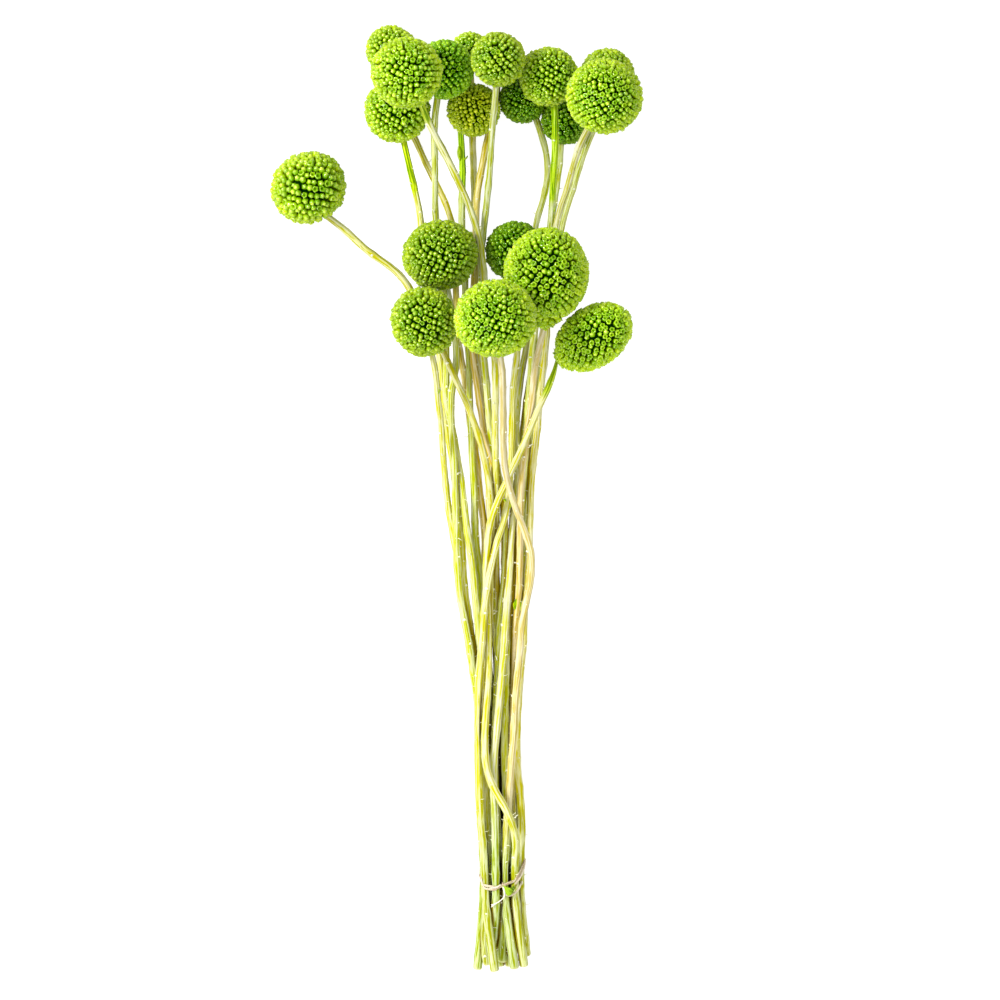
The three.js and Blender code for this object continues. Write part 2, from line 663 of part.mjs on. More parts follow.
const scrapGeometry = (tie) => {
  const outline = new THREE.Shape([
    new THREE.Vector2(1, 39.2),
    new THREE.Vector2(2, 37.4),
    new THREE.Vector2(2.5, 35.3),
    new THREE.Vector2(3.3, 33.9),
    new THREE.Vector2(4.8, 34.1),
    new THREE.Vector2(5.8, 35.8),
    new THREE.Vector2(7, 37.8),
    new THREE.Vector2(7.5, 39.5),
    new THREE.Vector2(6.3, 38.9),
    new THREE.Vector2(4.5, 38.2),
    new THREE.Vector2(2.5, 38.3),
  ]);
  const leaf = new THREE.ExtrudeGeometry(outline, { depth: scrapThickness, bevelEnabled: false });
  tie.computeBoundingBox();
  leaf.translate(0, 0, tie.boundingBox.max.z + gap);
  return leaf;
};

const bunch = new THREE.Group();

const addMesh = (name, geometry, colour, roughness) => {
  const mesh = new THREE.Mesh(geometry, material(colour, roughness));
  mesh.name = name;
  bunch.add(mesh);
};

const placed = (geometry) => {
  geometry.computeBoundingBox();
  return geometry.boundingBox.min.z < 0 ? restOnSurface(geometry) : geometry;
};

for (const flower of flowers) {
  addMesh(`head_${flower.name}`, placed(flower.head), flower.green, 0.85);
  addMesh(`stem_${flower.name}`, placed(stemGeometry(flower)), flower.pale, 0.7);
}
const tie = placed(tieGeometry());
addMesh('tie', tie, 0xcdb88c, 0.8);
addMesh('leaf_scrap', scrapGeometry(tie), 0x8fce1c, 0.6);

// The origin is under the middle of the whole bunch, on the surface.
const whole = new THREE.Box3().setFromObject(bunch);
bunch.position.set(-(whole.min.x + whole.max.x) / 2, -(whole.min.y + whole.max.y) / 2, 0);

export default bunch;
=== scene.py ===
import bpy
import json
import math
import random
import numpy as np
from functools import partial
from mathutils import Matrix, Vector

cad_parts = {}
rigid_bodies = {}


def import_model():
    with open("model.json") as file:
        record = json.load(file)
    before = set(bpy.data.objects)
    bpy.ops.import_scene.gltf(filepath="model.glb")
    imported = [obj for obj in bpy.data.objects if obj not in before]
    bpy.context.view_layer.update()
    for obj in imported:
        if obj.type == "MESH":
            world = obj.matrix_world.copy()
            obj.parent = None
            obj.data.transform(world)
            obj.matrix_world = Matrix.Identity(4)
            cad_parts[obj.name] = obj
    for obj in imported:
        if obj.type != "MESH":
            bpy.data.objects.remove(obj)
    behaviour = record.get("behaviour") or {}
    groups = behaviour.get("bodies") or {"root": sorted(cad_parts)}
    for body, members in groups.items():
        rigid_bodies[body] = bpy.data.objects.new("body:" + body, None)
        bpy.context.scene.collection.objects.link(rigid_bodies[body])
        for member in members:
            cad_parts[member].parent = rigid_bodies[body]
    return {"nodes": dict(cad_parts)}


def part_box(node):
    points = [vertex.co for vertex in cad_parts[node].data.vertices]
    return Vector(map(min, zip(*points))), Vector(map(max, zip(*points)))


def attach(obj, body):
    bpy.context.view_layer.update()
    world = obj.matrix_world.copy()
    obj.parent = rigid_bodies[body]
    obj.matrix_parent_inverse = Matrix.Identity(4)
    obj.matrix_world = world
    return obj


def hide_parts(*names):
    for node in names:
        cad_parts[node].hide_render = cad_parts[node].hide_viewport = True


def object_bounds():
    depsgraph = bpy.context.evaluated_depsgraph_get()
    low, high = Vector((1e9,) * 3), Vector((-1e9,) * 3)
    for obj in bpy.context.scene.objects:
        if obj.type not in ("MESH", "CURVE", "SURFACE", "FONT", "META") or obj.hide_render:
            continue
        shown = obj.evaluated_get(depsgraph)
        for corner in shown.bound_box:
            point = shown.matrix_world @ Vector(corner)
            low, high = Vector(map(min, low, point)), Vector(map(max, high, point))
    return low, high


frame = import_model()
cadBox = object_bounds()
mm = 0.001
fullTurn = 2 * math.pi
goldenAngle = math.pi * (3 - math.sqrt(5))
print("frame loaded:", len(frame["nodes"]), "nodes")


# camera: straight down on the lying bunch, heads at the top of the picture
picture = {
    "centre": (0.0193, -0.0006),   # the point in the middle of the picture
    "width": 0.45,                 # what the picture takes in, at the height below
    "height": 0.035,               # about the middle of the bunch
    "lens": 900,
    "sensor": 36,
}


def newObject(name, data):
    made = bpy.data.objects.new(name, data)
    bpy.context.scene.collection.objects.link(made)
    return made


def makeCamera():
    data = bpy.data.cameras.new("camera")
    data.lens = picture["lens"]
    data.sensor_width = picture["sensor"]
    distance = picture["width"] * picture["lens"] / picture["sensor"]
    data.clip_start = 0.1
    data.clip_end = distance * 3
    camera = newObject("camera", data)
    camera.location = (*picture["centre"], picture["height"] + distance)
    bpy.context.scene.camera = camera


makeCamera()
print("camera set")


# helpers for node trees: they work on the tree in hand and give back an output socket
hand = {"tree": None}


def feed(node, values):
    for name, value in values.items():
        if isinstance(value, bpy.types.NodeSocket):
            hand["tree"].links.new(value, node.inputs[name])
        else:
            node.inputs[name].default_value = value


def add(kind, inputs=None, output=0, **settings):
    made = hand["tree"].nodes.new(kind)
    for name, value in settings.items():
        setattr(made, name, value)
    feed(made, inputs or {})
    return made.outputs[output]


def newTree(name, kind, inputs, outputs):
    # A socket is given with its kind, or with the number it stands at where nothing sets it.
    tree = hand["tree"] = bpy.data.node_groups.new(name, kind)
    for way, sockets in (("INPUT", inputs), ("OUTPUT", outputs)):
        for socketName, value in sockets.items():
            socketKind = {float: "Float", int: "Int"}.get(type(value), value)
            socket = tree.interface.new_socket(
                name=socketName, in_out=way, socket_type="NodeSocket" + socketKind)
            if socketKind != value:
                socket.default_value = value
    return tree.nodes.new("NodeGroupInput").outputs, tree.nodes.new("NodeGroupOutput")


def newMaterial(name, **settings):
    material = bpy.data.materials.new(name)
    material.use_nodes = True
    hand["tree"] = material.node_tree
    surface = material.node_tree.nodes["Principled BSDF"]
    feed(surface, {socket.replace("_", " "): value for socket, value in settings.items()})
    return material, surface


def placeGroup(group, inputs):
    return add("ShaderNodeGroup", inputs, node_tree=group).node.outputs


def colourInputs(colours):
    return {name.title() + " Colour": sRgb(colour) for name, colour in colours.items()}


def calculate(operation, *terms):
    return add("ShaderNodeMath", dict(enumerate(terms)), operation=operation)


plus, minus, times, over, timesPlus, sine, cosine = (partial(calculate, operation) for operation in (
    "ADD", "SUBTRACT", "MULTIPLY", "DIVIDE", "MULTIPLY_ADD", "SINE", "COSINE"))


def ramp(value, low, high, toLow=0.0, toHigh=1.0, **settings):
    return add("ShaderNodeMapRange", {
        "Value": value, "From Min": low, "From Max": high, "To Min": toLow, "To Max": toHigh}, **settings)


softRamp = partial(ramp, interpolation_type="SMOOTHSTEP")


def blend(share, first, second):
    return add("ShaderNodeMix", {0: share, 6: first, 7: second}, 2, data_type="RGBA")


def vector(x, y, z=0.0):
    return add("ShaderNodeCombineXYZ", {0: x, 1: y, 2: z})


def split(place):
    return add("ShaderNodeSeparateXYZ", {0: place}).node.outputs


def vectorMath(operation, first, second):
    term = "Scale" if operation == "SCALE" else 1
    return add("ShaderNodeVectorMath", {0: first, term: second}, operation=operation)


def noise(place, scale, detail=2.0, roughness=0.5, seed=None):
    inputs = {"Vector": place, "Scale": scale, "Detail": detail, "Roughness": roughness}
    if seed is None:
        return add("ShaderNodeTexNoise", inputs)
    return add("ShaderNodeTexNoise", inputs | {"W": seed}, noise_dimensions="4D")


def bump(height, strength, distance=0.2 * mm):
    return add("ShaderNodeBump", {"Strength": strength, "Distance": distance, "Height": height})


def attribute(name, output="Fac"):
    return add("ShaderNodeAttribute", None, output, attribute_name=name)


def objectPlace():
    return add("ShaderNodeTexCoord", None, "Object")


def randomNumber(seed, step, low, high):
    # Numbers drawn with different steps from one seed have nothing to do with each other.
    return add("FunctionNodeRandomValue", {2: low, 3: high, 8: plus(seed, step)}, 1, data_type="FLOAT")


def read(name, kind="FLOAT"):
    return add("GeometryNodeInputNamedAttribute", {"Name": name}, data_type=kind)


def store(geometry, **values):
    # Keeps numbers, vectors and rotations on the points of a geometry.
    kinds = {"VECTOR": "FLOAT_VECTOR", "ROTATION": "QUATERNION"}
    for name, value in values.items():
        geometry = add("GeometryNodeStoreNamedAttribute", {
            "Geometry": geometry, "Name": name, "Value": value},
            data_type=kinds.get(getattr(value, "type", None), "FLOAT"), domain="POINT")
    return geometry


def move(geometry, **where):
    return add("GeometryNodeSetPosition", {"Geometry": geometry, **where})


def aimed(direction, **start):
    # A rotation that takes Z to a direction.
    return add("FunctionNodeAlignRotationToVector", {"Vector": direction, **start}, axis="Z")


def turned(rotation, x, y, z):
    # The same rotation after a turn about its own axes.
    angles = add("FunctionNodeEulerToRotation", {0: vector(x, y, z)})
    return add("FunctionNodeRotateRotation", {
        "Rotation": rotation, "Rotate By": angles}, rotation_space="LOCAL")


def scatter(points, shapes, rotation, size, kind=None):
    # A shape on every point; with a kind, each point picks one out of a collection.
    inputs = {"Points": points, "Instance": shapes, "Rotation": rotation, "Scale": size}
    if kind is not None:
        separate = {"Collection": shapes, "Separate Children": True, "Reset Children": True}
        inputs["Instance"] = add("GeometryNodeCollectionInfo", separate)
        inputs |= {"Pick Instance": True, "Instance Index": kind}
    return add("GeometryNodeInstanceOnPoints", inputs)


def join(*parts):
    made = hand["tree"].nodes.new("GeometryNodeJoinGeometry")
    for part in parts:
        hand["tree"].links.new(part, made.inputs[0])
    return made.outputs[0]


def realized(geometry):
    return add("GeometryNodeRealizeInstances", {"Geometry": geometry})


def smoothShaded(geometry):
    return add("GeometryNodeSetShadeSmooth", {"Geometry": geometry})


def endTree(out, geometry, material):
    feed(out, {0: add("GeometryNodeSetMaterial", {
        "Geometry": realized(geometry), "Material": material})})
    return hand["tree"]


def circle(count):
    # A ring to sweep, and the angle of each of its points.
    ring = add("GeometryNodeCurvePrimitiveCircle", {"Resolution": count, "Radius": 1.0})
    return ring, times(over(add("GeometryNodeInputIndex"), count), fullTurn)


def sweep(curve, ring, turn, spread, stretch, scale, seed, roughness):
    # Sweeps a ring along a curve, roughens the skin lengthwise, and keeps for the finish where on
    # the ring and how far along the curve each point is.
    ring = store(ring, ringX=cosine(turn), ringY=sine(turn))
    skin = add("GeometryNodeCurveToMesh", {
        "Curve": curve, "Profile Curve": ring, "Scale": read("thick"), "Fill Caps": True})
    place = vector(read("ringX"), times(read("ringY"), spread), read("walked"))
    skin = store(skin, skinPlace=place)
    rough = noise(vectorMath("MULTIPLY", place, stretch), scale, seed=seed)
    offset = vectorMath("SCALE", add("GeometryNodeInputNormal"), times(minus(rough, 0.5), roughness))
    return smoothShaded(move(skin, Offset=offset))


def sRgb(colour):
    # A colour given in 0 to 255 as a screen shows it, made linear.
    shares = [value / 255 for value in colour]
    return (*(share / 12.92 if share <= 0.04045 else ((share + 0.055) / 1.055) ** 2.4
              for share in shares), 1.0)


# helpers for meshes
def meshObject(name, points, faces=(), edges=()):
    mesh = bpy.data.meshes.new(name)
    mesh.from_pydata([tuple(point) for point in points], list(edges), list(faces))
    return newObject(name, mesh)


def setValues(mesh, name, values):
    # One number for the whole mesh, or a number or a vector for each of its points.
    values = np.asarray(values, dtype=np.float32)
    if values.ndim == 0:
        values = np.full(len(mesh.vertices), values)
    kind, field = ("FLOAT", "value") if values.ndim == 1 else ("FLOAT_VECTOR", "vector")
    layer = mesh.attributes.get(name) or mesh.attributes.new(name, kind, "POINT")
    layer.data.foreach_set(field, values.ravel())


def cornersOf(mesh):
    return np.array([corner.co for corner in mesh.vertices])


def tubeFaces(rings, sides):
    # Quads between rings of points that follow each other.
    faces = []
    for ring in range(rings - 1):
        for k in range(sides):
            a, b = ring * sides + k, ring * sides + (k + 1) % sides
            faces.append((a, b, b + sides, a + sides))
    return faces


def fan(first, sides, tip):
    return [(first + k, first + (k + 1) % sides, tip) for k in range(sides)]


def tubeObject(name, rings, tip=None):
    # A tube through rings of points, closed at both ends, or drawn together in a tip.
    sides = len(rings[0])
    points = [point for ring in rings for point in ring]
    last = len(points) - sides
    faces = tubeFaces(len(rings), sides) + [tuple(range(sides))[::-1]]
    if tip is None:
        faces.append(tuple(range(last, last + sides)))
    else:
        faces += fan(last, sides, len(points))
        points.append(tip)
    return meshObject(name, points, faces)


def lineObject(points, closed, **values):
    # A line of points to grow a piece along, with a value or a vector on each of them.
    count = len(points)
    made = meshObject("line", points, edges=[
        (i, (i + 1) % count) for i in range(count if closed else count - 1)])
    for name, layer in values.items():
        setValues(made.data, name, layer)
    return made


def kindsFrom(name, made):
    kinds = bpy.data.collections.new(name)
    bpy.context.scene.collection.children.link(kinds)
    for shape in made:
        bpy.context.scene.collection.objects.unlink(shape)
        kinds.objects.link(shape)
    return kinds


def dropKinds(kinds):
    for shape in list(kinds.objects):
        bpy.data.objects.remove(shape)
    bpy.data.collections.remove(kinds)


def grow(seedObject, tree, values):
    # Runs one Geometry Nodes tree on an object and gives back its result as a plain mesh. The
    # value for a socket such as Rib Depth is called ribDepth.
    modifier = seedObject.modifiers.new("grow", "NODES")
    modifier.node_group = tree
    for item in tree.interface.items_tree:
        name = item.name[0].lower() + item.name[1:].replace(" ", "")
        if item.item_type == "SOCKET" and item.in_out == "INPUT" and name in values:
            modifier[item.identifier] = values[name]
    bpy.context.view_layer.update()
    evaluated = seedObject.evaluated_get(bpy.context.evaluated_depsgraph_get())
    mesh = bpy.data.meshes.new_from_object(evaluated)
    seedObject.modifiers.clear()
    return mesh


def finishPiece(name, mesh, nodes):
    for corner in mesh.vertices:   # nothing reaches under the surface that the bunch lies on
        corner.co.z = max(corner.co.z, 0.02 * mm)
    mesh.name = name
    made = newObject(name, mesh)
    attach(made, "root")
    if nodes:
        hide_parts(*nodes)
    return sum(len(face.vertices) - 2 for face in mesh.polygons)


def joinMeshes(meshes):
    parts = [newObject("part", mesh) for mesh in meshes]
    with bpy.context.temp_override(active_object=parts[0], selected_editable_objects=parts):
        bpy.ops.object.join()
    mesh = parts[0].data
    bpy.data.objects.remove(parts[0])
    return mesh


# helpers for lines of points
def normalised(rows):
    return rows / np.linalg.norm(rows, axis=-1, keepdims=True)


def walkedAlong(points):
    return np.concatenate([[0], np.cumsum(np.linalg.norm(np.diff(points, axis=0), axis=1))])


def evenly(points, step):
    # The same route with points the same distance apart.
    walked = walkedAlong(points)
    marks = np.linspace(0, walked[-1], max(4, int(round(walked[-1] / step))) + 1)
    return np.stack([np.interp(marks, walked, points[:, k]) for k in range(3)], axis=1), marks


def smoothed(values, rounds):
    values = values.copy()
    for _ in range(rounds):
        values[1:-1] = 0.5 * values[1:-1] + 0.25 * (values[:-2] + values[2:])
    return values


def resampled(values, count):
    return np.interp(np.linspace(0, 1, count), np.linspace(0, 1, len(values)), values)


# shader groups
def makeFloretShade():
    # Colour of a floret from its root to its tip, with each floret and patch a little different.
    take, out = newTree(
        "floretShade", "ShaderNodeTree",
        {"Gap Colour": "Color", "Side Colour": "Color", "Tip Colour": "Color", "Patch Colour": "Color",
         "Patch Share": 0.3, "Limb": 0.0, "Limb Colour": "Color", "Speck Colour": "Color",
         "Speck Share": 0.5},
        {"Colour": "Color", "Roughness": "Float", "Shine": "Float", "Normal": "Vector"})
    tone, place = attribute("tone"), objectPlace()
    grain = noise(place, 1500.0, roughness=0.6)
    rise = timesPlus(minus(grain, 0.5), 0.16, attribute("rise"))
    patches = times(ramp(noise(place, 70.0, 1.0), 0.4, 0.65), take["Patch Share"])
    sides = blend(patches, take["Side Colour"], take["Patch Colour"])
    # the paler tip: partly the florets' own colour, partly a painted highlight
    tip = times(softRamp(rise, 0.84, 1.0), ramp(tone, 0.0, 1.0, 0.75, 1.0))
    # painted glints: pale specks on the upper parts of the florets
    speck = times(softRamp(noise(place, 2200.0, 0.0), 0.6, 0.68), softRamp(rise, 0.5, 0.85))
    # painted shade: the florets darken down towards their roots, in the gaps between them
    shade = blend(softRamp(rise, 0.22, 0.8), take["Gap Colour"], sides)
    shade = blend(tip, shade, take["Tip Colour"])
    # a painted sheen over the rim of the head as seen
    shade = blend(take["Limb"], shade, take["Limb Colour"])
    shade = blend(times(speck, take["Speck Share"]), shade, take["Speck Colour"])
    varied = add("ShaderNodeHueSaturation", {
        "Color": shade, "Hue": ramp(tone, 0.0, 1.0, 0.51, 0.49),
        "Value": times(attribute("headTone"), ramp(tone, 0.0, 1.0, 0.8, 1.14))})
    shine = times(softRamp(rise, 0.64, 0.9, 0.0, 0.9), minus(1.0, take["Limb"]))
    feed(out, {"Colour": varied, "Roughness": ramp(rise, 0.6, 1.0, 0.9, 0.5), "Shine": shine,
               "Normal": bump(grain, 0.35)})
    return hand["tree"]


def makeFibreShade():
    # Lengthwise streaks that follow a stem or a strand, with blotches and fine ridges.
    take, out = newTree(
        "fibreShade", "ShaderNodeTree",
        {"Light Colour": "Color", "Dark Colour": "Color", "Blotch Colour": "Color", "Blotch Share": 0.4,
         "Stretch": 40.0, "Seed": 0.0, "Rib": 0.5, "Rib Share": 0.0, "Crest Colour": "Color",
         "Crest Share": 0.6},
        {"Colour": "Color", "Streak": "Float", "Shine": "Float"})
    x, y, along = split(attribute("skinPlace", "Vector"))
    fine = vector(plus(x, take["Seed"]), y, times(along, take["Stretch"]))
    streak = noise(fine, 1.9, 4.0, 0.6)
    grade = softRamp(streak, 0.38, 0.62)
    # the ribs' grooves take the dark colour and their tops the light one: painted shade and painted light
    grade = softRamp(timesPlus(minus(take["Rib"], grade), take["Rib Share"], grade), 0.12, 0.64)
    blotch = times(softRamp(noise(fine, 0.8), 0.45, 0.62), take["Blotch Share"])
    # crest streaks: pale painted highlights along the fibres
    crest = times(softRamp(streak, 0.55, 0.66), take["Crest Share"])
    shade = blend(grade, take["Dark Colour"], take["Light Colour"])
    shade = blend(blotch, shade, take["Blotch Colour"])
    shade = blend(crest, shade, take["Crest Colour"])
    feed(out, {"Colour": shade, "Streak": streak, "Shine": ramp(grade, 0.4, 1.0, 0.0, 0.6)})
    return hand["tree"]


floretShade = makeFloretShade()
fibreShade = makeFibreShade()


# finishes of the heads
# The darkest colour is painted shade down between the florets; the tip colour is partly the florets' own
# paler tips and partly a painted highlight; the palest two are a painted sheen at the rim of each head as
# seen, and painted glints.
headColours = {
    "green": {"gap": (10, 54, 0), "side": (132, 190, 0), "tip": (220, 249, 82),
              "patch": (172, 208, 0), "limb": (188, 216, 8), "speck": (255, 255, 236)},
    "deep_green": {"gap": (4, 40, 0), "side": (86, 148, 0), "tip": (178, 226, 24),
                   "patch": (118, 170, 0), "limb": (124, 170, 0), "speck": (232, 246, 160)},
    "olive": {"gap": (26, 54, 0), "side": (166, 192, 0), "tip": (240, 246, 64),
              "patch": (196, 206, 0), "limb": (190, 210, 8), "speck": (255, 255, 236)},
}
headPaintedSheen = {
    "turned": (0.14, 0.75),   # away from the eye, from 0 to 1: where the painted sheen at the rim begins and is full
    "share": 0.7,             # of the painted sheen, a paler colour laid over the florets and their gaps there
    "specksFrom": 0.2,
    "specks": (0.0, 0.38),    # painted glints: their share in the middle and at the rim
}


def makeHeadMaterials():
    made = {}
    for finish, colours in headColours.items():
        made[finish], surface = newMaterial(
            "florets_" + finish, Specular_IOR_Level=0.04, Coat_Roughness=0.16, Coat_IOR=2.0)
        # the further a place turns away from the eye, the more painted sheen and painted glints it gets
        away = add("ShaderNodeLayerWeight", {
            "Blend": 0.5, "Normal": attribute("outward", "Vector")}, "Facing")
        shade = placeGroup(floretShade, colourInputs(colours) | {
            "Limb": softRamp(away, *headPaintedSheen["turned"], 0.0, headPaintedSheen["share"]),
            "Speck Share": ramp(away, headPaintedSheen["specksFrom"], headPaintedSheen["turned"][1], *headPaintedSheen["specks"])})
        feed(surface, {"Base Color": shade["Colour"], "Roughness": shade["Roughness"],
                       "Coat Weight": shade["Shine"], "Normal": shade["Normal"]})
    return made


headMaterials = makeHeadMaterials()


# finishes of the stems
stemColours = {
    "yellow_green": {"light": (212, 212, 166), "dark": (184, 182, 36), "blotch": (202, 198, 96),
                     "blotchShare": 0.3, "topShare": 0.75},
    "tan": {"light": (220, 205, 170), "dark": (192, 170, 102), "blotch": (206, 185, 122),
            "blotchShare": 0.4, "topShare": 0.4},
    "cream": {"light": (219, 216, 190), "dark": (196, 189, 86), "blotch": (220, 213, 148),
              "blotchShare": 0.35, "topShare": 0.6},
}
stemExtras = {
    # the light and the dark fibres near the cut end, near the heads, and in the young lime part
    "base": {"light": (195, 201, 150), "dark": (146, 151, 20)},
    "top": {"light": (203, 205, 162), "dark": (150, 154, 20)},
    "lime": {"light": (188, 208, 28), "dark": (98, 136, 0)},
    "baseFade": (0.04, 0.09),      # from the cut, how far up the stem's own colour comes in
    "topFade": (0.27, 0.33),       # and goes over into the top's
    "stretch": 45.0,
    # how far the ribs' painted shade in the grooves and painted light on the tops set the colour
    "ribShare": 0.42,
    # pale streaks painted as highlights along the ribs, and their share
    "crest": (255, 255, 240),
    "crestShare": 0.2,
    "hue": (0.486, 0.524),         # from stem to stem
    "tone": (1.06, 0.93),
    "richness": (0.006, 0.04, 1.42, 0.98),   # painted shade: colour is stronger in the stems that lie low
    "lift": (0.006, 0.04, 1.16, 0.97),       # and painted light makes them lighter
    "hollow": (168, 146, 0),       # painted shade where stems come close together
    "hollowFade": (0.2, 0.66),
    "deep": (32, 20, 0),           # near-black painted shadow where they touch, most of all near the tie
    "deepFade": (0.14, 0.44),
    "deepFrom": (0.012, 0.04, 0.15, 1.0),
    "deepUntil": (0.075, 0.14, 1.0, 0.15),
    "scar": (252, 250, 228),       # dry rims of the leaf scars
    "cut": (226, 226, 160),        # the pith at the cut end
    "roughness": (0.3, 0.7, 0.5, 0.32),
}


def makeStemMaterials():
    made = {}
    for finish, colours in stemColours.items():
        made[finish], surface = newMaterial(
            "stem_" + finish, Specular_IOR_Level=0.05, Coat_Roughness=0.28)
        lime, closeness = attribute("lime"), attribute("closeness")
        walked = split(attribute("skinPlace", "Vector"))["Z"]
        grown = softRamp(walked, *stemExtras["baseFade"])
        risen = times(softRamp(walked, *stemExtras["topFade"]), colours["topShare"])
        own = times(grown, minus(1.0, lime))
        inputs = {}
        for tone in ("light", "dark"):
            shade = blend(grown, sRgb(stemExtras["base"][tone]), sRgb(colours[tone]))
            shade = blend(risen, shade, sRgb(stemExtras["top"][tone]))
            inputs[tone.title() + " Colour"] = blend(lime, shade, sRgb(stemExtras["lime"][tone]))
        number = attribute("stemNumber")
        shade = placeGroup(fibreShade, inputs | {
            "Blotch Colour": sRgb(colours["blotch"]), "Blotch Share": times(own, colours["blotchShare"]),
            "Stretch": stemExtras["stretch"], "Seed": number, "Rib": attribute("rib"),
            "Rib Share": stemExtras["ribShare"], "Crest Colour": sRgb(stemExtras["crest"]),
            "Crest Share": stemExtras["crestShare"]})
        change = add("ShaderNodeTexWhiteNoise", {"W": number}, "Value", noise_dimensions="1D")
        height = split(objectPlace())["Z"]
        tone = times(attribute("stemTone"), ramp(change, 0.0, 1.0, *stemExtras["tone"]))
        # stems that lie low get painted shade in a stronger colour and painted light in a lighter value
        colour = add("ShaderNodeHueSaturation", {
            "Color": shade["Colour"], "Hue": ramp(change, 0.0, 1.0, *stemExtras["hue"]),
            "Saturation": ramp(height, *stemExtras["richness"]),
            "Value": times(ramp(height, *stemExtras["lift"]), tone)})
        # painted shade where stems come close together, and near the tie a near-black painted shadow where
        # they touch; then the dry scar rims and the pith at the cut end
        nearTie = times(ramp(walked, *stemExtras["deepFrom"]), ramp(walked, *stemExtras["deepUntil"]))
        deep = times(softRamp(closeness, *stemExtras["deepFade"]), nearTie)
        for share, name in ((softRamp(closeness, *stemExtras["hollowFade"]), "hollow"), (deep, "deep"),
                            (attribute("scar"), "scar"), (attribute("cut"), "cut")):
            colour = blend(share, colour, sRgb(stemExtras[name]))
        feed(surface, {"Base Color": colour, "Coat Weight": shade["Shine"],
                       "Roughness": ramp(shade["Streak"], *stemExtras["roughness"]),
                       "Normal": bump(shade["Streak"], 0.6, 0.3 * mm)})
    return made


stemMaterials = makeStemMaterials()
print("finishes made")


# routes of the stems, read from the solids
routeReading = {
    "step": 3 * mm,          # between the cuts across a stem
    "reach": 4.5 * mm,       # from the route, what still belongs to the same stem
    "least": 0.1 * mm * mm,  # area of a cut
    "endFace": 1.2 * mm,     # how ragged the cut end is
    "endReach": 6 * mm,
    "mostCuts": 300,
    "spacing": 2.2 * mm,     # between the points of the route
}


def sectionCentre(starts, ends, near, along):
    # Middle and mean radius of the solid where a plane across its route cuts it.
    before, after = (starts - near) @ along, (ends - near) @ along
    crossing = (before < 0) != (after < 0)
    share = before[crossing] / (before[crossing] - after[crossing])
    cuts = starts[crossing] + share[:, None] * (ends[crossing] - starts[crossing])
    cuts = cuts[np.linalg.norm(cuts - near, axis=1) < routeReading["reach"]]
    if len(cuts) < 3:
        return None
    sideways = normalised(np.cross(along, (0.0, 0.0, 1.0)))
    upwards = np.cross(sideways, along)
    flat = np.stack([(cuts - near) @ sideways, (cuts - near) @ upwards], axis=1)
    ring = flat[np.argsort(np.arctan2(*(flat - flat.mean(0)).T[::-1]))]
    following = np.roll(ring, -1, axis=0)
    cross = ring[:, 0] * following[:, 1] - following[:, 0] * ring[:, 1]
    area = cross.sum() / 2
    if area < routeReading["least"]:
        return None
    centre = ((ring + following) * cross[:, None]).sum(0) / (6 * area)
    return near + centre[0] * sideways + centre[1] * upwards, math.sqrt(area / math.pi)


def routeOf(solid):
    # From the cut end to the head: a point and a radius at every cut.
    step = routeReading["step"]
    corners = cornersOf(solid)
    edges = np.array([edge.vertices for edge in solid.edges])
    starts, ends = corners[edges[:, 0]], corners[edges[:, 1]]
    lowest = corners[:, 1].min()
    here = corners[corners[:, 1] < lowest + routeReading["endFace"]].mean(0)
    along = np.array((0.0, 1.0, 0.0))
    points, radii = [], []
    for _ in range(routeReading["mostCuts"]):
        found = sectionCentre(starts, ends, here + along * step, along)
        if found is None:
            break
        here = found[0]
        points.append(here)
        radii.append(found[1])
        if len(points) > 1:
            along = normalised(points[-1] - points[max(0, len(points) - 3)])
    close = corners[np.linalg.norm(corners - here, axis=1) < routeReading["endReach"]]
    points.append(here + along * max(0.2 * mm, ((close - here) @ along).max()))
    first = points[0] - (points[1] - points[0]) / step * (points[0][1] - lowest)
    return np.array([first] + points), np.array([radii[0]] + radii + [radii[-1]])


stems = {}
for number in range(1, 21):
    found, radii = routeOf(frame["nodes"]["stem_%02d" % number].data)
    points, marks = evenly(found, routeReading["spacing"])
    radii = np.interp(marks, walkedAlong(found), radii)
    stems[number] = smoothed(points, 6), smoothed(radii, 20)
    print("stem", number, "length %.1f mm" % (marks[-1] / mm), "radius %.2f mm" % (np.median(radii) / mm))


# heads
# One floret is a little cup with five lobes: (radius, height, rise, lobing) from its root to the
# middle of its top, in shares of the distance between florets. What rises further is paler, and
# leans and varies more.
floretForms = {
    "closed": [(0.34, -0.15, 0.0, 0.0), (0.42, 0.38, 0.42, 0.08), (0.35, 0.74, 0.8, 0.14),
               (0.15, 0.93, 1.0, -0.16), (0, 0.92, 0.94, 0.0)],
    "open": [(0.34, -0.15, 0.0, 0.0), (0.42, 0.42, 0.44, 0.08), (0.38, 0.9, 1.0, 0.14),
             (0.24, 0.8, 0.6, -0.12), (0, 0.56, 0.34, 0.0)],
}
floretFinish = {
    "lobes": 5,
    "closedKinds": 5,
    "openKinds": 4,
    "ruggedness": 0.15,
    "lobeLift": 0.3,
    "lean": 0.1,
    "depth": 0.9,        # from the tips down to the core, in shares of the spacing
    "seed": 7,
}
# a small pointed green scale of the neck, with X across it and Z along it: (width, height, rise)
bractFinish = {
    "profile": [(0.10, 0.0, 0.5), (0.30, 0.25, 0.7), (0.36, 0.55, 0.8), (0.20, 0.85, 0.92)],
    "sides": 6,
    "flatness": 0.22,
    "bend": 0.16,
    "tip": (0, 0.2, 1.0),
}


def floretPart(name, rings, tip, rises):
    made = tubeObject(name, rings, tip)
    setValues(made.data, "rise", rises)
    made.data.polygons.foreach_set("use_smooth", [True] * len(made.data.polygons))
    return made


